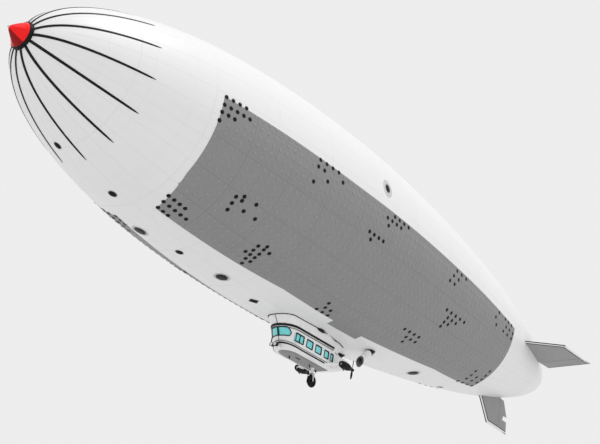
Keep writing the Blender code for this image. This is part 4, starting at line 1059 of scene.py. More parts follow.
class SHIP_OT_nose(bpy.types.Operator):
    """The red nose cone, the mooring spindle, and the black band and battens behind them"""

    bl_idname = "ship.nose"
    bl_label = "Nose"

    def execute(self, context):
        self.cone()
        self.spindle()
        self.battens()
        return {"FINISHED"}

    def cone(self):
        """A domed cone of six panels that are flattest half way down and run out into a round rim, the lower
        one painted a darker red as painted shade.
        """
        cone = Shape()
        panel = math.tau / CONE_PANELS
        rings = []
        for step in range(CONE_STEPS, -1, -1):
            share = step / CONE_STEPS
            x = CONE_RIM_X + (CONE_TIP_X - CONE_RIM_X) * (1.0 - share**CONE_DOME)
            radius = SPINDLE_RADIUS + (CONE_RADIUS - SPINDLE_RADIUS) * share
            flat = 0.0
            if 0 < share < PANEL_END:
                flat = PANEL_FLATNESS * math.sin(math.pi * min(share * 1.15, 1.0)) ** 0.6
            ring = []
            for side in range(CONE_SIDES):
                turn = math.tau * side / CONE_SIDES
                away = (turn - math.radians(PAINTED_SHADE_PANEL[0])) % panel - panel / 2.0
                chord = math.cos(panel / 2.0) / math.cos(away)
                reach = radius * (1.0 + (chord - 1.0) * flat)
                ring.append((x, reach * math.cos(turn), reach * math.sin(turn)))
            rings.append(ring)
        rings.insert(0, [(CONE_RIM_X - 0.12, y, z) for _, y, z in rings[0]])
        cone.loft(rings)
        # The lower panel's faces take the darker red, painted shade where the cone faces down
        for place in range(CONE_STEPS * CONE_SIDES):
            level, side = divmod(place, CONE_SIDES)
            degrees = 360.0 * (side + 0.5) / CONE_SIDES - 360.0
            if PAINTED_SHADE_PANEL[0] < degrees < PAINTED_SHADE_PANEL[1] and 1 <= level < CONE_STEPS - 1:
                cone.marks[place] = 1
        looks = ["nose_paint", "nose_shade"]
        put(cone, "nose_cone_skin", looks, SHIP, 14.0, ["nose_cone"])

    def spindle(self):
        spindle = Shape()
        tip = SPINDLE_X
        profile = (
            (NOSE_X - 0.1, 0.0),
            (NOSE_X - 0.1, SPINDLE_RADIUS),
            (CONE_TIP_X, SPINDLE_RADIUS),
            (CONE_TIP_X + 0.006, SPINDLE_RADIUS * 0.8),
            (tip - 0.014, SPINDLE_RADIUS * 0.8),
            (tip - 0.010, SPINDLE_RADIUS),
            (tip - 0.003, SPINDLE_RADIUS),
            (tip, SPINDLE_RADIUS * 0.85),
            (tip, 0.0),
        )
        spindle.turned(profile, 32)
        name, node = "mooring_spindle_turned", "mooring_spindle"
        put(spindle, name, ["bare_metal"], SHIP, replaces=[node])

    def battens(self):
        battens = Shape()
        low = CONE_RADIUS + 0.001
        back = NOSE_X - 0.09
        band = (
            (back, low),
            (CONE_RIM_X - 0.004, low),
            (CONE_RIM_X, low + 0.006),
            (CONE_RIM_X - 0.006, low + 0.020),
            (CONE_RIM_X - 0.024, BAND_RADIUS - 0.004),
            (CONE_RIM_X - 0.040, BAND_RADIUS),
            (back, BAND_RADIUS),
        )
        battens.turned(band, 96, wrap=True)
        width, depth = sizes().batten_width, sizes().batten_depth
        first = math.sqrt((NOSE_X - BATTEN_FRONT_X) / BATTEN_REACH)
        for number in range(BATTENS):
            degrees = FIRST_BATTEN + 360.0 * number / BATTENS
            turn = math.radians(degrees)
            aside = Vector((0.0, -math.sin(turn), math.cos(turn)))
            rings = []
            for step in range(BATTEN_STEPS + 1):
                share = step / BATTEN_STEPS
                x = NOSE_X - BATTEN_REACH * (first + (1.0 - first) * share) ** 2
                half = width / 2.0 * (1.0 - 0.22 * share) * math.sqrt(max(1.0 - share**24, 0.02))
                rise = depth * (1.0 - 0.2 * share)
                ring = []
                for across, up in BATTEN_SECTION:
                    ring.append(on_hull(x, degrees, rise * up - 0.002) + aside * half * across)
                rings.append(ring)
            battens.loft(rings)
        name, node = "nose_battens_smooth", "nose_battens"
        put(battens, name, ["black_paint"], SHIP, 40.0, [node])


# Fins


def at_x(start, end, x):
    """The distance from the axis of a straight edge at an x."""
    return part_way(start, end, (x - start[0]) / (end[0] - start[0]))[1]


def at_reach(start, end, reach):
    """The x of a straight edge at a distance from the axis."""
    return part_way(start, end, (reach - start[1]) / (end[1] - start[1]))[0]


def fin_half(reach):
    """Half a fin's thickness at a distance from the axis."""
    return FIN_HALF_ROOT + (FIN_HALF_TIP - FIN_HALF_ROOT) * (reach - FIN_ROOT) / (FIN_TIP - FIN_ROOT)


def fin_point(turn, x, reach, out):
    """A point from x, distance from the axis, and distance out of the fin's plane."""
    outward = Vector((0.0, math.cos(turn), math.sin(turn)))
    aside = Vector((0.0, -math.sin(turn), math.cos(turn)))
    return Vector((x, 0.0, 0.0)) + outward * reach + aside * out


def fin_swell(share):
    """A fin's thickness along its chord: round in front, full at a quarter, thinner to the hinge."""
    if share < 0.25:
        return math.sin(math.pi / 2.0 * share / 0.25) ** 0.55
    return 1.0 + (HINGE_SHARE - 1.0) * (share - 0.25) / 0.75


class SHIP_OT_tail(bpy.types.Operator):
    """The fins with their white rims, and the rudders and elevators on their hinges"""

    bl_idname = "ship.tail"
    bl_label = "Tail"

    def execute(self, context):
        for fin_name, surface_name, degrees, outline in FINS:
            turn = math.radians(degrees)
            self.fin(fin_name, turn, outline)
            self.surface(surface_name, turn, outline)
        return {"FINISHED"}

    def fin(self, name, turn, outline):
        """A fin with a white rim along its front and tip, and dark beading beside the rim and round it."""
        front_root, front_tip, back_tip, _, _, hinge_x, _ = outline
        rear = hinge_x + FIN_HALF_ROOT * HINGE_SHARE + HINGE_CLEAR
        tip_rear = (rear, at_x(front_tip, back_tip, rear))
        root_front = (at_reach(front_root, front_tip, FIN_BURIED), FIN_BURIED)
        rim = sizes().rim_width
        span = front_tip[1] - FIN_BURIED
        spans = [step / 10.0 * (1.0 - rim * TIP_RIM / span) for step in range(11)] + [1.0]
        rows = []
        for up in spans:
            front = part_way(root_front, front_tip, up)
            back = part_way((rear, FIN_BURIED), tip_rear, up)
            edge = rim / math.hypot(front[0] - back[0], front[1] - back[1])
            shares = [edge * part for part in RIM_SHARES]
            shares += [edge + (1.0 - edge) * part for part in PLATE_SHARES]
            row = []
            for share in shares:
                x, reach = part_way(front, back, share)
                row.append((x, reach, fin_half(reach) * fin_swell(share)))
            rows.append(row)
        rings = []
        for row in rows:
            ring = [fin_point(turn, x, reach, out) for x, reach, out in row]
            ring += [fin_point(turn, x, reach, -out) for x, reach, out in reversed(row[1:])]
            rings.append(ring)
        plate = Shape()
        plate.loft(rings, 1)
        size, last = len(rings[0]), len(RIM_SHARES) - 1
        for place in range((len(rings) - 2) * size):
            if last <= place % size < size - last:
                plate.marks[place] = 0
        put(plate, name + "_skin", ["fin_paint", "rim_paint"], SHIP, 40.0, [name])
        lines = Shape()
        radius = sizes().piping
        for side in (1, -1):
            inner = [row[last] for row in rows[:-1]] + rows[-2][last + 1 :]
            lines.tube([fin_point(turn, x, reach, side * out) for x, reach, out in inner], radius * 0.8)
        front = [fin_point(turn, row[0][0] - radius * 0.6, row[0][1], 0.0) for row in rows]
        lines.tube(front, radius)
        lines.tube([fin_point(turn, x, reach - radius, 0.0) for x, reach, _ in rows[-1]], radius)
        put(lines, name + "_beading", ["black_rubber"], SHIP)

    def surface(self, name, turn, outline):
        """A rudder or elevator, round at its hinge and thin behind, with a white rim at its tip."""
        _, front_tip, back_tip, back_bend, back_root, hinge_x, root = outline
        tip = at_x(front_tip, back_tip, hinge_x)
        share = (back_bend[1] - back_root[1]) / (back_tip[1] - back_root[1])
        bend = root + (tip - root) * share
        spans = [(root, back_root)]
        for part in (0.33, 0.66, 1.0):
            spans.append((root + (bend - root) * part, part_way(back_root, back_bend, part)))
        last = 1.0 - sizes().rim_width * TIP_RIM / (tip - bend)
        for part in (last / 3.0, last * 2.0 / 3.0, last, 1.0):
            spans.append((bend + (tip - bend) * part, part_way(back_bend, back_tip, part)))
        rings, trailing = [], []
        for reach, back in spans:
            radius = fin_half(reach) * HINGE_SHARE
            ring = []
            for step in range(HINGE_STEPS + 1):
                angle = math.pi * (step / HINGE_STEPS - 0.5)
                x = hinge_x + radius * math.cos(angle)
                ring.append(fin_point(turn, x, reach, radius * math.sin(angle)))
            for sign, shares in ((1, SURFACE_SHARES), (-1, SURFACE_SHARES[::-1])):
                for part in shares:
                    x, at = part_way((hinge_x, reach), back, part)
                    ring.append(fin_point(turn, x, at, sign * (radius + (EDGE_HALF - radius) * part)))
            rings.append(ring)
            trailing.append(fin_point(turn, back[0] + 0.006, min(back[1], spans[-1][1][1] - 0.012), 0.0))
        plate = Shape()
        plate.loft(rings[:-1])
        plate.loft(rings[-2:], 1)
        piece = put(plate, name + "_skin", ["fin_paint", "rim_paint"], name, 34.0, [name])
        lines = Shape()
        radius = sizes().piping
        if name == "rudder_bottom":
            notch = Shape()
            notch.loft([[fin_point(turn, x, reach, out) for x, reach in TAB_NOTCH] for out in (-0.1, 0.1)])
            carve(piece, notch)
        else:
            lines.tube(trailing, radius * 0.8)
        row, middle = rings[-2], HINGE_STEPS + 1 + len(SURFACE_SHARES)
        lines.tube(row[HINGE_STEPS:middle], radius * 0.7)
        lines.tube([row[0], *reversed(row[middle:])], radius * 0.7)
        far, end = spans[-1]
        tip_line = [part_way((hinge_x, far), end, step / 6.0) for step in range(7)]
        lines.tube([fin_point(turn, x, at - radius, 0.0) for x, at in tip_line], radius * 0.9)
        put(lines, name + "_beading", ["black_rubber"], name)


# Cabin


def bow_x(z):
    """The x of the cabin's bow at a height."""
    return BOW_X + BOW_RAKE * (z - BOW_Z)


def bow_arc(front, z, half, depth, rise=0.0):
    """Points round a bow from port to starboard."""
    points = []
    for step in range(2 * BOW_STEPS + 1):
        angle = math.pi / 2.0 * (1.0 - step / BOW_STEPS)
        ahead = math.cos(angle)
        lift = rise * abs(ahead) ** 1.5
        x = front - depth * (1.0 - ahead) + BOW_RAKE * lift
        points.append(Vector((x, half * math.sin(angle), z + lift)))
    return points


def plan(z, out, port_rear, starboard_rear, rise=0.0):
    """A line round the cabin at a height, from the port rear round the bow to the starboard rear."""
    half = CABIN_HALF + out
    arc = bow_arc(bow_x(z) + out, z, half, BOW_DEPTH + out, rise)
    return [Vector((port_rear, half, z))] + arc + [Vector((starboard_rear, -half, z))]


def on_bow(x, z, side, out=0.0):
    """A point on the cockpit's side at an x and height, or beside the centre post ahead of the bow."""
    front, half, depth = bow_x(z) + out, CABIN_HALF + out, BOW_DEPTH + out
    if x <= front - depth:
        return Vector((x, side * half, z))
    ahead = min((x - front + depth) / depth, 1.0)
    y = half * math.sqrt(max(1.0 - ahead * ahead, 0.0))
    if y < POST_HALF:
        y = POST_HALF
        x = front - depth * (1.0 - math.sqrt(1.0 - (y / half) ** 2))
    return Vector((x, side * y, z))


def band(shape, z, half_height, out, rise, port_rear, starboard_rear, mark):
    """A flat strip round the cabin's wall."""
    rings = []
    for share, far in ((1.0, 0.0005), (0.8, out), (-0.8, out), (-1.0, 0.0005)):
        rings.append(plan(z + half_height * share, far, port_rear, starboard_rear, rise))
    shape.loft(list(zip(*rings)), mark)


def frame_outline(front, rear, top, bottom, grow, corner):
    """A rectangle with round corners in x and z, grown outwards."""
    points = []
    corner = max(corner + grow, 0.004)
    corners = (
        (front + grow - corner, top + grow - corner, 0),
        (rear - grow + corner, top + grow - corner, 90),
        (rear - grow + corner, bottom - grow + corner, 180),
        (front + grow - corner, bottom - grow + corner, 270),
    )
    for x, z, first in corners:
        for step in range(5):
            angle = math.radians(first + 22.5 * step)
            points.append((x + corner * math.cos(angle), z + corner * math.sin(angle)))
    return points


def window_seal(shape, window, side):
    """The rubber round a window, lapping in over the edge of its opening."""
    wide = sizes().seal_width
    rings = []
    for share, out in ((0.5, 0.0005), (0.35, 0.007), (-0.35, 0.007), (-0.5, -0.013)):
        outline = frame_outline(*window, wide * share, 0.02)
        rings.append([(x, side * (CABIN_HALF + out), z) for x, z in outline])
    shape.loft(rings, wrap=True)


class SHIP_OT_cabin(bpy.types.Operator):
    """The cabin's paint, the stripes beside its rails, its seals, door furniture and belly fittings"""

    bl_idname = "ship.cabin"
    bl_label = "Cabin"

    def execute(self, context):
        for node, look, edge in CABIN_SOLIDS:
            dress(node, look, edge)
        self.lines()
        self.seams()
        self.door()
        self.belly()
        return {"FINISHED"}

    def lines(self):
        """The stripes beside the rails."""
        lines = Shape()
        for *line, look in CABIN_LINES:
            band(lines, *line, 0 if look == "black" else 1)
        put(lines, "cabin_stripes", ["black_paint", "stripe_metal"], SHIP, 40.0)

    def seams(self):
        """Dark sealing strips where the fairing meets the hull, and up the middle of the bow."""
        belt = bow_arc(bow_x(FAIRING_BELT_Z), FAIRING_BELT_Z, FAIRING_HALF, BOW_DEPTH)
        met = bow_arc(FAIRING_BOW_X, FAIRING_MEETS_Z, FAIRING_HALF, BOW_DEPTH)
        for low_x, low_half, high_x, high_half in FAIRING_SIDES:
            belt.insert(0, Vector((low_x, low_half, FAIRING_BELT_Z)))
            belt.append(Vector((low_x, -low_half, FAIRING_BELT_Z)))
            met.insert(0, Vector((high_x, high_half, FAIRING_MEETS_Z)))
            met.append(Vector((high_x, -high_half, FAIRING_MEETS_Z)))
        path = [self.meeting(low, high) for low, high in zip(belt, met)]
        seal = Shape()
        seal.tube(path, 0.022)
        seal.tube([(bow_x(z) + 0.002, 0.0, z) for z in BOW_STRIP], 0.009)
        foot = (bow_x(FAIRING_BELT_Z) + 0.004, 0.0, FAIRING_BELT_Z)
        seal.tube([foot, path[len(path) // 2]], 0.011)
        put(seal, "fairing_seal", ["black_rubber"], SHIP)

    def meeting(self, low, high):
        """The point where a line up the fairing runs into the hull, by halving."""
        near, far = 0.0, 2.0
        for _ in range(30):
            middle = (near + far) / 2.0
            point = low + (high - low) * middle
            if math.hypot(point.y, point.z) > hull_radius(point.x):
                near = middle
            else:
                far = middle
        return low + (high - low) * near

    def door(self):
        """The door's handle, lock and hinges."""
        front, rear, top, bottom = DOOR
        y = -CABIN_HALF
        handle = Shape()
        handle.block((rear + 0.03, y - 0.012, HANDLE_Z), (rear + 0.12, y - 0.004, HANDLE_Z + 0.025))
        for x in (rear + 0.035, rear + 0.10):
            handle.block((x, y - 0.010, HANDLE_Z + 0.003), (x + 0.015, y + 0.001, HANDLE_Z + 0.022))
        lock = ((0.0, 0.010), (0.004, 0.010), (0.006, 0.007), (0.006, 0.0))
        handle.turned(lock, 16, (rear + 0.05, y - 0.001, LOCK_Z), (0.0, -1.0, 0.0))
        put(handle, "door_handle", ["bare_metal"], "cabin_door", bevel=0.002)
        leaves, barrels = Shape(), Shape()
        pin = ((-0.035, 0.0), (-0.035, 0.005), (0.035, 0.005), (0.035, 0.0))
        for z in (top - 0.09, bottom + 0.09):
            leaves.block((front - 0.055, y - 0.003, z - 0.03), (front - 0.020, y, z + 0.03))
            barrels.block((front + 0.010, y - 0.003, z - 0.03), (front + 0.040, y, z + 0.03))
            barrels.turned(pin, 12, (front + 0.010, y - 0.0065, z), (0.0, 0.0, 1.0))
        put(leaves, "door_hinge_leaves", ["bare_metal"], "cabin_door", bevel=0.001)
        put(barrels, "door_hinge_barrels", ["bare_metal"], SHIP, bevel=0.001)

    def belly(self):
        """A dark hatch, small blade aerials and a row of round drain covers under the floor."""
        fittings = Shape()
        hatch = frame_outline(*HATCH, 0.0, 0.02)
        fittings.loft([[(x, y, BELLY_Z - drop) for x, y in hatch] for drop in (-0.003, 0.004)])
        for x, y in AERIALS:
            rings = []
            for out in (-0.005, 0.005):
                rings.append([(x + along, y + out, BELLY_Z + up + 0.002) for along, up in AERIAL_BLADE])
            fittings.loft(rings)
        for step in range(DRAINS):
            at = (DRAIN_X - DRAIN_PITCH * step, 0.0, BELLY_Z + 0.001)
            fittings.turned(DRAIN_COVER, 16, at, (0.0, 0.0, -1.0))
        put(fittings, "belly_fittings", ["black_paint"], SHIP, bevel=0.002)


class SHIP_OT_windows(bpy.types.Operator):
    """The tinted panes and the black rubber round them"""

    bl_idname = "ship.windows"
    bl_label = "Windows"

    def execute(self, context):
        for node in PANES:
            dress(node, "window_glass", 0.0008)
        seals = Shape()
        for side, _ in SIDES:
            window_seal(seals, COCKPIT_WINDOW, side)
            middle = (COCKPIT_WINDOW[0] + COCKPIT_WINDOW[1]) / 2.0
            wall = sorted((side * (CABIN_HALF - 0.013), side * (CABIN_HALF + 0.006)))
            low = (middle - 0.014, wall[0], COCKPIT_WINDOW[3])
            seals.block(low, (middle + 0.014, wall[1], COCKPIT_WINDOW[2]))
            for number, window in enumerate(SIDE_WINDOWS):
                if side < 0 and number == DOOR_WINDOW:
                    continue
                window_seal(seals, window, side)
            self.windshield(seals, side)
        put(seals, "window_seals", ["black_rubber"], SHIP, 40.0)
        door = Shape()
        window_seal(door, SIDE_WINDOWS[DOOR_WINDOW], -1)
        put(door, "door_window_seal", ["black_rubber"], "cabin_door", 40.0)
        self.post()
        return {"FINISHED"}

    def windshield(self, seals, side):
        """The seal round one half of the windshield, on the curved bow."""
        path = []
        for start, end in zip(WINDSHIELD, WINDSHIELD[1:]):
            steps = 14 if abs(start[0] - end[0]) > 0.3 else 4
            for step in range(steps):
                x, z = part_way(start, end, step / steps)
                path.append(on_bow(x, z, side, 0.002))
        path.append(on_bow(*WINDSHIELD[-1], side, 0.002))
        top, bottom = path[0], path[-1]
        for step in range(1, 8):
            x, z = part_way((1.3, bottom.z), (1.3, top.z), step / 8.0)
            path.append(on_bow(x, z, side, 0.002))
        clean = [path[0]]
        for point in path[1:]:
            if (point - clean[-1]).length > 0.004:
                clean.append(point)
        seals.tube(clean, 0.017, loop=True)

    def post(self):
        """The windshield's centre post."""
        post = Shape()
        top, bottom = WINDSHIELD[0][1], WINDSHIELD[-1][1]
        half = POST_HALF * 0.8
        rings = []
        for step in range(9):
            z = top + 0.01 + (bottom - top - 0.02) * step / 8.0
            front, back = bow_x(z) + 0.006, bow_x(z) - 0.01
            rings.append([(front, half, z), (front, -half, z), (back, -POST_HALF, z), (back, POST_HALF, z)])
        post.loft(rings)
        put(post, "windshield_post", ["black_paint"], SHIP, bevel=0.002)


class SHIP_OT_engines(bpy.types.Operator):
    """The cowlings with their tops painted light grey as a painted highlight, the engines inside, the arms
    and the propellers
    """

    bl_idname = "ship.engines"
    bl_label = "Engines"

    def execute(self, context):
        for side, label in SIDES:
            self.cowling(side, label)
            dress(f"engine_{label}", "bare_metal", 0.002)
            dress(f"outrigger_{label}", "cabin_paint", 0.004)
            self.propeller(side, label)
        return {"FINISHED"}

    def cowling(self, side, label):
        """A turned cowling with a light grey panel on top as a painted highlight, two exhaust stubs and rows
        of louvres.
        """
        y, z = side * NACELLE_Y, NACELLE_Z
        outer = []
        for step in range(NACELLE_STEPS + 1):
            x = NACELLE_X[0] + (NACELLE_X[-1] - NACELLE_X[0]) * step / NACELLE_STEPS
            outer.append((x, self.radius(x)))
        inner = [(x, radius - NACELLE_WALL) for x, radius in reversed(outer)]
        lip = [(NACELLE_X[0], NACELLE_RADII[0] - NACELLE_WALL / 2.0)]
        cowl = Shape()
        cowl.turned(outer + inner + lip, NACELLE_SIDES, (0.0, y, z), wrap=True)
        # Faces along the top take the light grey, a painted highlight
        for place in range(len(cowl.marks)):
            level, around = divmod(place, NACELLE_SIDES)
            degrees = 360.0 * (around + 0.5) / NACELLE_SIDES
            if HIGHLIGHT_STEPS[0] <= level < HIGHLIGHT_STEPS[1] and HIGHLIGHT_DEGREES[0] < degrees < HIGHLIGHT_DEGREES[1]:
                cowl.marks[place] = 1
        looks, node = ["black_paint", "stripe_metal"], f"cowling_{label}"
        put(cowl, f"cowling_skin_{label}", looks, SHIP, 45.0, [node])
        fittings = Shape()
        for down in (-1, 1):
            start = Vector((-1.62, y + down * 0.07, z - 0.10))
            end = start + Vector((-0.10, 0.0, -0.045))
            fittings.tube((start, (start + end) / 2.0, end), 0.016, 12)
        for louvre in range(LOUVRES):
            x = LOUVRE_X - LOUVRE_PITCH * louvre
            radius = self.radius(x) + 0.001
            for flank in (1, -1):
                rings = []
                for degrees in (-24, -8, 8, 24):
                    turn = math.radians(degrees)
                    side_y, up = y + flank * radius * math.cos(turn), z + radius * math.sin(turn)
                    crest = (x - 0.016, side_y + flank * 0.006, up)
                    rings.append([(x, side_y, up), crest, (x - 0.018, side_y, up)])
                fittings.loft(rings)
        put(fittings, f"cowling_fittings_{label}", ["black_paint"], SHIP)

    def radius(self, x):
        """The cowling's radius at x, smoothly between its stations."""
        for place in range(len(NACELLE_X) - 1):
            front, back = NACELLE_X[place], NACELLE_X[place + 1]
            if back <= x <= front:
                share = (front - x) / (front - back)
                return NACELLE_RADII[place] + (NACELLE_RADII[place + 1] - NACELLE_RADII[place]) * share
        return NACELLE_RADII[-1]

    def propeller(self, side, label):
        """A hub and two twisted blades, which turn opposite ways to port and to starboard."""
        centre = Vector((PROPELLER_X, side * NACELLE_Y, NACELLE_Z))
        prop = Shape()
        prop.turned(HUB, 32, centre)
        for blade in (1, -1):
            rings = []
            for reach, chord, thick, twist in BLADES:
                turn = math.radians(twist) * side
                ring = []
                for step in range(16):
                    angle = math.tau * step / 16
                    across = 0.5 * math.cos(angle) * chord * blade
                    camber = 0.5 * math.sin(angle) * thick * (0.65 + 0.35 * math.cos(angle))
                    x = camber * math.cos(turn) + across * math.sin(turn) * blade
                    y = across * math.cos(turn) - camber * math.sin(turn) * blade
                    ring.append(centre + Vector((x, y, blade * reach)))
                rings.append(ring)
            prop.loft(rings)
        body = f"propeller_{label}"
        put(prop, f"propeller_blades_{label}", ["black_paint"], body, 40.0, [body])


class SHIP_OT_scoops(bpy.types.Operator):
    """The air scoops behind the engines, white tubes with black lips and collars, and dark grey bores as
    painted shade in their mouths
    """

    bl_idname = "ship.scoops"
    bl_label = "Air scoops"

    def execute(self, context):
        for side, label in SIDES:
            mouth = Vector((SCOOP_MOUTH[0], side * SCOOP_MOUTH[1], SCOOP_MOUTH[2]))
            top = Vector((SCOOP_TOP[0], side * SCOOP_TOP[1], SCOOP_TOP[2]))
            axis, length = (top - mouth).normalized(), (top - mouth).length
            scoop = Shape()
            for mark, profile in SCOOP_LAYERS:
                self.sleeve(scoop, mouth, axis, profile, length, mark)
            # The bore is dark grey, painted shade inside the mouth
            bore = SCOOP_RADIUS - SCOOP_WALL
            inside = [self.ring(mouth, axis, length * at, bore, at) for at in (0.0, 0.3, 0.9)]
            scoop.loft(inside, 2, caps=False)
            looks, node = ["cabin_paint", "black_paint", "belly_paint"], f"air_scoop_{label}"
            put(scoop, f"scoop_{label}", looks, SHIP, 40.0, [node])
        return {"FINISHED"}

    def ring(self, mouth, axis, distance, radius, share):
        """A ring across the tube, upright at the mouth and square to the tube further in."""
        aside = axis.cross(Vector((0.0, 0.0, 1.0))).normalized()
        up = axis.cross(aside).normalized()
        points = []
        upright = max(1.0 - share * 2.5, 0.0)
        for step in range(40):
            angle = math.tau * step / 40
            offset = aside * radius * math.cos(angle) + up * radius * math.sin(angle)
            slide = -offset.x / axis.x * upright
            points.append(mouth + axis * (distance + slide) + offset)
        return points

    def sleeve(self, scoop, mouth, axis, profile, length, mark):
        """A layer round the tube from (share of its length, stands out) pairs, with the tube's own wall."""
        layer = [(at, SCOOP_RADIUS - 0.004 + out * 0.4) for at, out in profile]
        bore = SCOOP_RADIUS - SCOOP_WALL + 0.001
        layer += [(profile[-1][0], bore), (profile[0][0], bore)]
        scoop.loft([self.ring(mouth, axis, length * at, radius, at) for at, radius in layer], mark, wrap=True)


class SHIP_OT_gear(bpy.types.Operator):
    """The leg, fork, wheel and grooved tyre"""

    bl_idname = "ship.gear"
    bl_label = "Landing wheel"

    def execute(self, context):
        dress("gear_leg", "rim_paint", 0.002)
        dress("castor_fork", "bare_metal", 0.002)
        dress("wheel_rim", "black_paint", 0.002)
        self.tyre()
        bolts = Shape()
        for flank in (1, -1):
            bolts.turned(AXLE_NUT, 6, (AXLE_X, flank * NUT_Y, AXLE_Z), (0.0, flank, 0.0))
        put(bolts, "axle_nuts", ["bare_metal"], "castor")
        return {"FINISHED"}

    def tyre(self):
        """A tyre with grooves round its crown."""
        core = (TYRE_RADIUS + RIM_RADIUS) / 2.0
        rise = TYRE_RADIUS - core
        grooves = sizes().tread_grooves
        profile = [(-BEAD_HALF, RIM_RADIUS)]
        steps = 60
        for step in range(steps + 1):
            angle = math.pi * (1.15 - step / steps * 1.3)
            across = TYRE_HALF * math.cos(angle)
            radius = core + rise * math.sin(angle)
            for groove in range(grooves):
                middle = (groove - (grooves - 1) / 2.0) * GROOVE_PITCH
                if abs(across - middle) < GROOVE_HALF and radius > core:
                    radius -= GROOVE_DEPTH
            profile.append((across, radius))
        profile.append((BEAD_HALF, RIM_RADIUS))
        tyre = Shape()
        tyre.turned(profile, 72, (AXLE_X, 0.0, AXLE_Z), (0.0, 1.0, 0.0), wrap=True)
        put(tyre, "tyre_grooved", ["black_rubber"], "wheel", 28.0, ["tyre"])


class SHIP_OT_inside(bpy.types.Operator):
    """The seats and the instrument panel that show through the glass"""

    bl_idname = "ship.inside"
    bl_label = "Inside"

    def execute(self, context):
        for number, front in enumerate(SEAT_ROWS, start=1):
            row = Shape()
            for side in (1, -1):
                y = side * SEAT_Y
                self.cushion(row, (front - 0.235, y, SEAT_BASE_Z + 0.165), 0.225, 0.05, 0.0)
                self.cushion(row, (front - 0.24, y, SEAT_BASE_Z + 0.20), 0.285, 0.045, 81.0)
                base_top = (front - 0.05, y + 0.10, SEAT_BASE_Z + 0.12)
                row.block((front - 0.20, y - 0.10, SEAT_BASE_Z), base_top, 1)
            rail_top = (front - 0.06, SEAT_Y, SEAT_BASE_Z + 0.035)
            row.block((front - 0.12, -SEAT_Y, SEAT_BASE_Z), rail_top, 1)
            looks, node = ["seat_cloth", "black_paint"], f"seat_row_{number}"
            piece = put(row, f"seats_{number}", looks, SHIP, 50.0, [node])
        dress("instrument_panel", "black_paint", 0.004)
        self.dials()
        return {"FINISHED"}

    def cushion(self, row, start, length, thick, lean):
        """A crowned pad that runs from its start along its lean, with its sides drawn in between corners."""
        tilt = math.radians(lean)
        along = Vector((math.cos(tilt), 0.0, math.sin(tilt)))
        if lean > 45.0:
            along.x = -along.x
        up = Vector((-along.z, 0.0, along.x)) if lean <= 45.0 else Vector((along.z, 0.0, -along.x))
        rings = []
        steps = 10
        for step in range(steps + 1):
            share = step / steps
            end = math.sqrt(max(1.0 - (2.0 * share - 1.0) ** 6, 0.0)) * 0.9 + 0.1
            half = (SEAT_HALF - 0.006) * end - 0.004 * math.sin(math.pi * share)
            depth = thick / 2.0 * (end * 0.8 + 0.2 * math.sin(math.pi * share))
            ring = []
            for turn in range(20):
                angle = math.tau * turn / 20
                across = math.copysign(abs(math.cos(angle)) ** 0.35, math.cos(angle)) * half
                rise = math.copysign(abs(math.sin(angle)) ** 0.6, math.sin(angle)) * depth
                ring.append(Vector(start) + along * length * share + Vector((0.0, across, 0.0)) + up * rise)
            rings.append(ring)
        row.loft(rings, 0)

    def dials(self):
        """Round dials on the sloping face of the panel."""
        dials = Shape()
        for column in range(DIALS):
            at = (DIAL_X, FIRST_DIAL_Y + DIAL_PITCH * column, SEAT_BASE_Z + DIAL_RISE)
            dials.turned(DIAL, 20, at, (-1.0, 0.0, 0.0))
        put(dials, "panel_dials", ["stripe_metal"], SHIP)


class SHIP_OT_lamps(bpy.types.Operator):
    """The two landing lamps under the bow, with their lenses and their bracket"""

    bl_idname = "ship.lamps"
    bl_label = "Landing lamps"

    def execute(self, context):
        lamps = Shape()
        for side, _ in SIDES:
            centre = (LAMP_X, side * LAMP_Y, LAMP_Z)
            lamps.turned(LAMP_SHELL, 32, centre)
            lamps.turned(LAMP_LENS, 32, centre, mark=1)
        rings = []
        for x, half, rise in LAMP_BRACKET:
            top, bottom = LAMP_Z + rise, LAMP_Z - rise
            rings.append([(x, half, top), (x, -half, top), (x, -half, bottom), (x, half, bottom)])
        lamps.loft(rings, 2)
        looks = ["black_paint", "lens_glass", "cabin_paint"]
        put(lamps, "landing_lamps", looks, SHIP, replaces=["bow_lamp"])
        return {"FINISHED"}


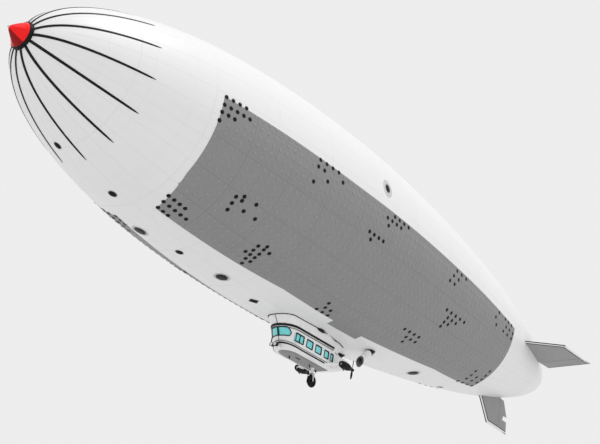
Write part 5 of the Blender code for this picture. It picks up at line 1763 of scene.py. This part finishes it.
class SHIP_OT_stage(bpy.types.Operator):
    """The pale floor, the soft light and the camera"""

    bl_idname = "ship.stage"
    bl_label = "Studio"

    def execute(self, context):
        scene = context.scene
        corners = ((-1.0, -1.0), (1.0, -1.0), (1.0, 1.0), (-1.0, 1.0))
        points = [(x * FLOOR_REACH, y * FLOOR_REACH, FLOOR_Z) for x, y in corners]
        mesh = bpy.data.meshes.new("studio_floor")
        mesh.from_pydata(points, [], [(0, 1, 2, 3)])
        mesh.materials.append(finish("studio_floor"))
        plane = bpy.data.objects.new("studio_floor", mesh)
        scene.collection.objects.link(plane)
        sun = bpy.data.lights.new("key", "SUN")
        sun.energy = sizes().sun_strength
        sun.angle = math.radians(KEY_SPREAD)
        key = bpy.data.objects.new("key", sun)
        key.rotation_euler = (math.radians(KEY_TILT), 0.0, 0.0)
        scene.collection.objects.link(key)
        world = bpy.data.worlds.new("studio")
        scene.world = world
        world.use_nodes = True
        backdrop = world.node_tree.nodes["Background"]
        backdrop.inputs["Color"].default_value = (1.0, 1.0, 1.0, 1.0)
        backdrop.inputs["Strength"].default_value = sizes().sky_strength
        scene.view_settings.view_transform = "Standard"
        self.camera(scene)
        return {"FINISHED"}

    def camera(self, scene):
        yaw, pitch, roll = (math.radians(angle) for angle in (CAMERA_YAW, CAMERA_PITCH, CAMERA_ROLL))
        level_part = math.cos(pitch)
        ahead = Vector((level_part * math.cos(yaw), level_part * math.sin(yaw), math.sin(pitch)))
        level = Vector((math.sin(yaw), -math.cos(yaw), 0.0))
        above = level.cross(ahead)
        right = level * math.cos(roll) + above * math.sin(roll)
        up = above * math.cos(roll) - level * math.sin(roll)
        lens = bpy.data.cameras.new("camera")
        lens.lens = CAMERA_LENS
        lens.sensor_width = SENSOR_WIDTH
        lens.clip_start, lens.clip_end = 0.1, 1000.0
        camera = bpy.data.objects.new("camera", lens)
        columns = (right, up, -ahead, Vector(CAMERA_PLACE))
        rows = [[column[row] for column in columns] for row in range(3)]
        camera.matrix_world = Matrix((*rows, (0.0, 0.0, 0.0, 1.0)))
        scene.collection.objects.link(camera)
        scene.camera = camera


OPERATORS = (
    SHIP_OT_stage,
    SHIP_OT_envelope,
    SHIP_OT_signs,
    SHIP_OT_valves,
    SHIP_OT_nose,
    SHIP_OT_tail,
    SHIP_OT_cabin,
    SHIP_OT_windows,
    SHIP_OT_engines,
    SHIP_OT_scoops,
    SHIP_OT_gear,
    SHIP_OT_inside,
    SHIP_OT_lamps,
)


class SHIP_PT_panel(bpy.types.Panel):
    """The airship's sizes, colours and pieces"""

    bl_idname = "SHIP_PT_panel"
    bl_label = "Airship"
    bl_space_type = "VIEW_3D"
    bl_region_type = "UI"
    bl_category = "Airship"

    def draw(self, context):
        for group in (context.scene.ship_sizes, context.scene.ship_colours):
            box = self.layout.box()
            for name in group.__annotations__:
                box.prop(group, name)
        for operator in OPERATORS:
            self.layout.operator(operator.bl_idname)


CLASSES = (ShipSizes, ShipColours, *OPERATORS, SHIP_PT_panel)


def register():
    for item in CLASSES:
        bpy.utils.register_class(item)
    bpy.types.Scene.ship_sizes = PointerProperty(type=ShipSizes)
    bpy.types.Scene.ship_colours = PointerProperty(type=ShipColours)


def unregister():
    del bpy.types.Scene.ship_colours
    del bpy.types.Scene.ship_sizes
    for item in reversed(CLASSES):
        bpy.utils.unregister_class(item)


def main():
    """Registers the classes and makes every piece."""
    register()
    for operator in OPERATORS:
        group, name = operator.bl_idname.split(".")
        getattr(getattr(bpy.ops, group), name)()


if __name__ == "__main__":
    main()
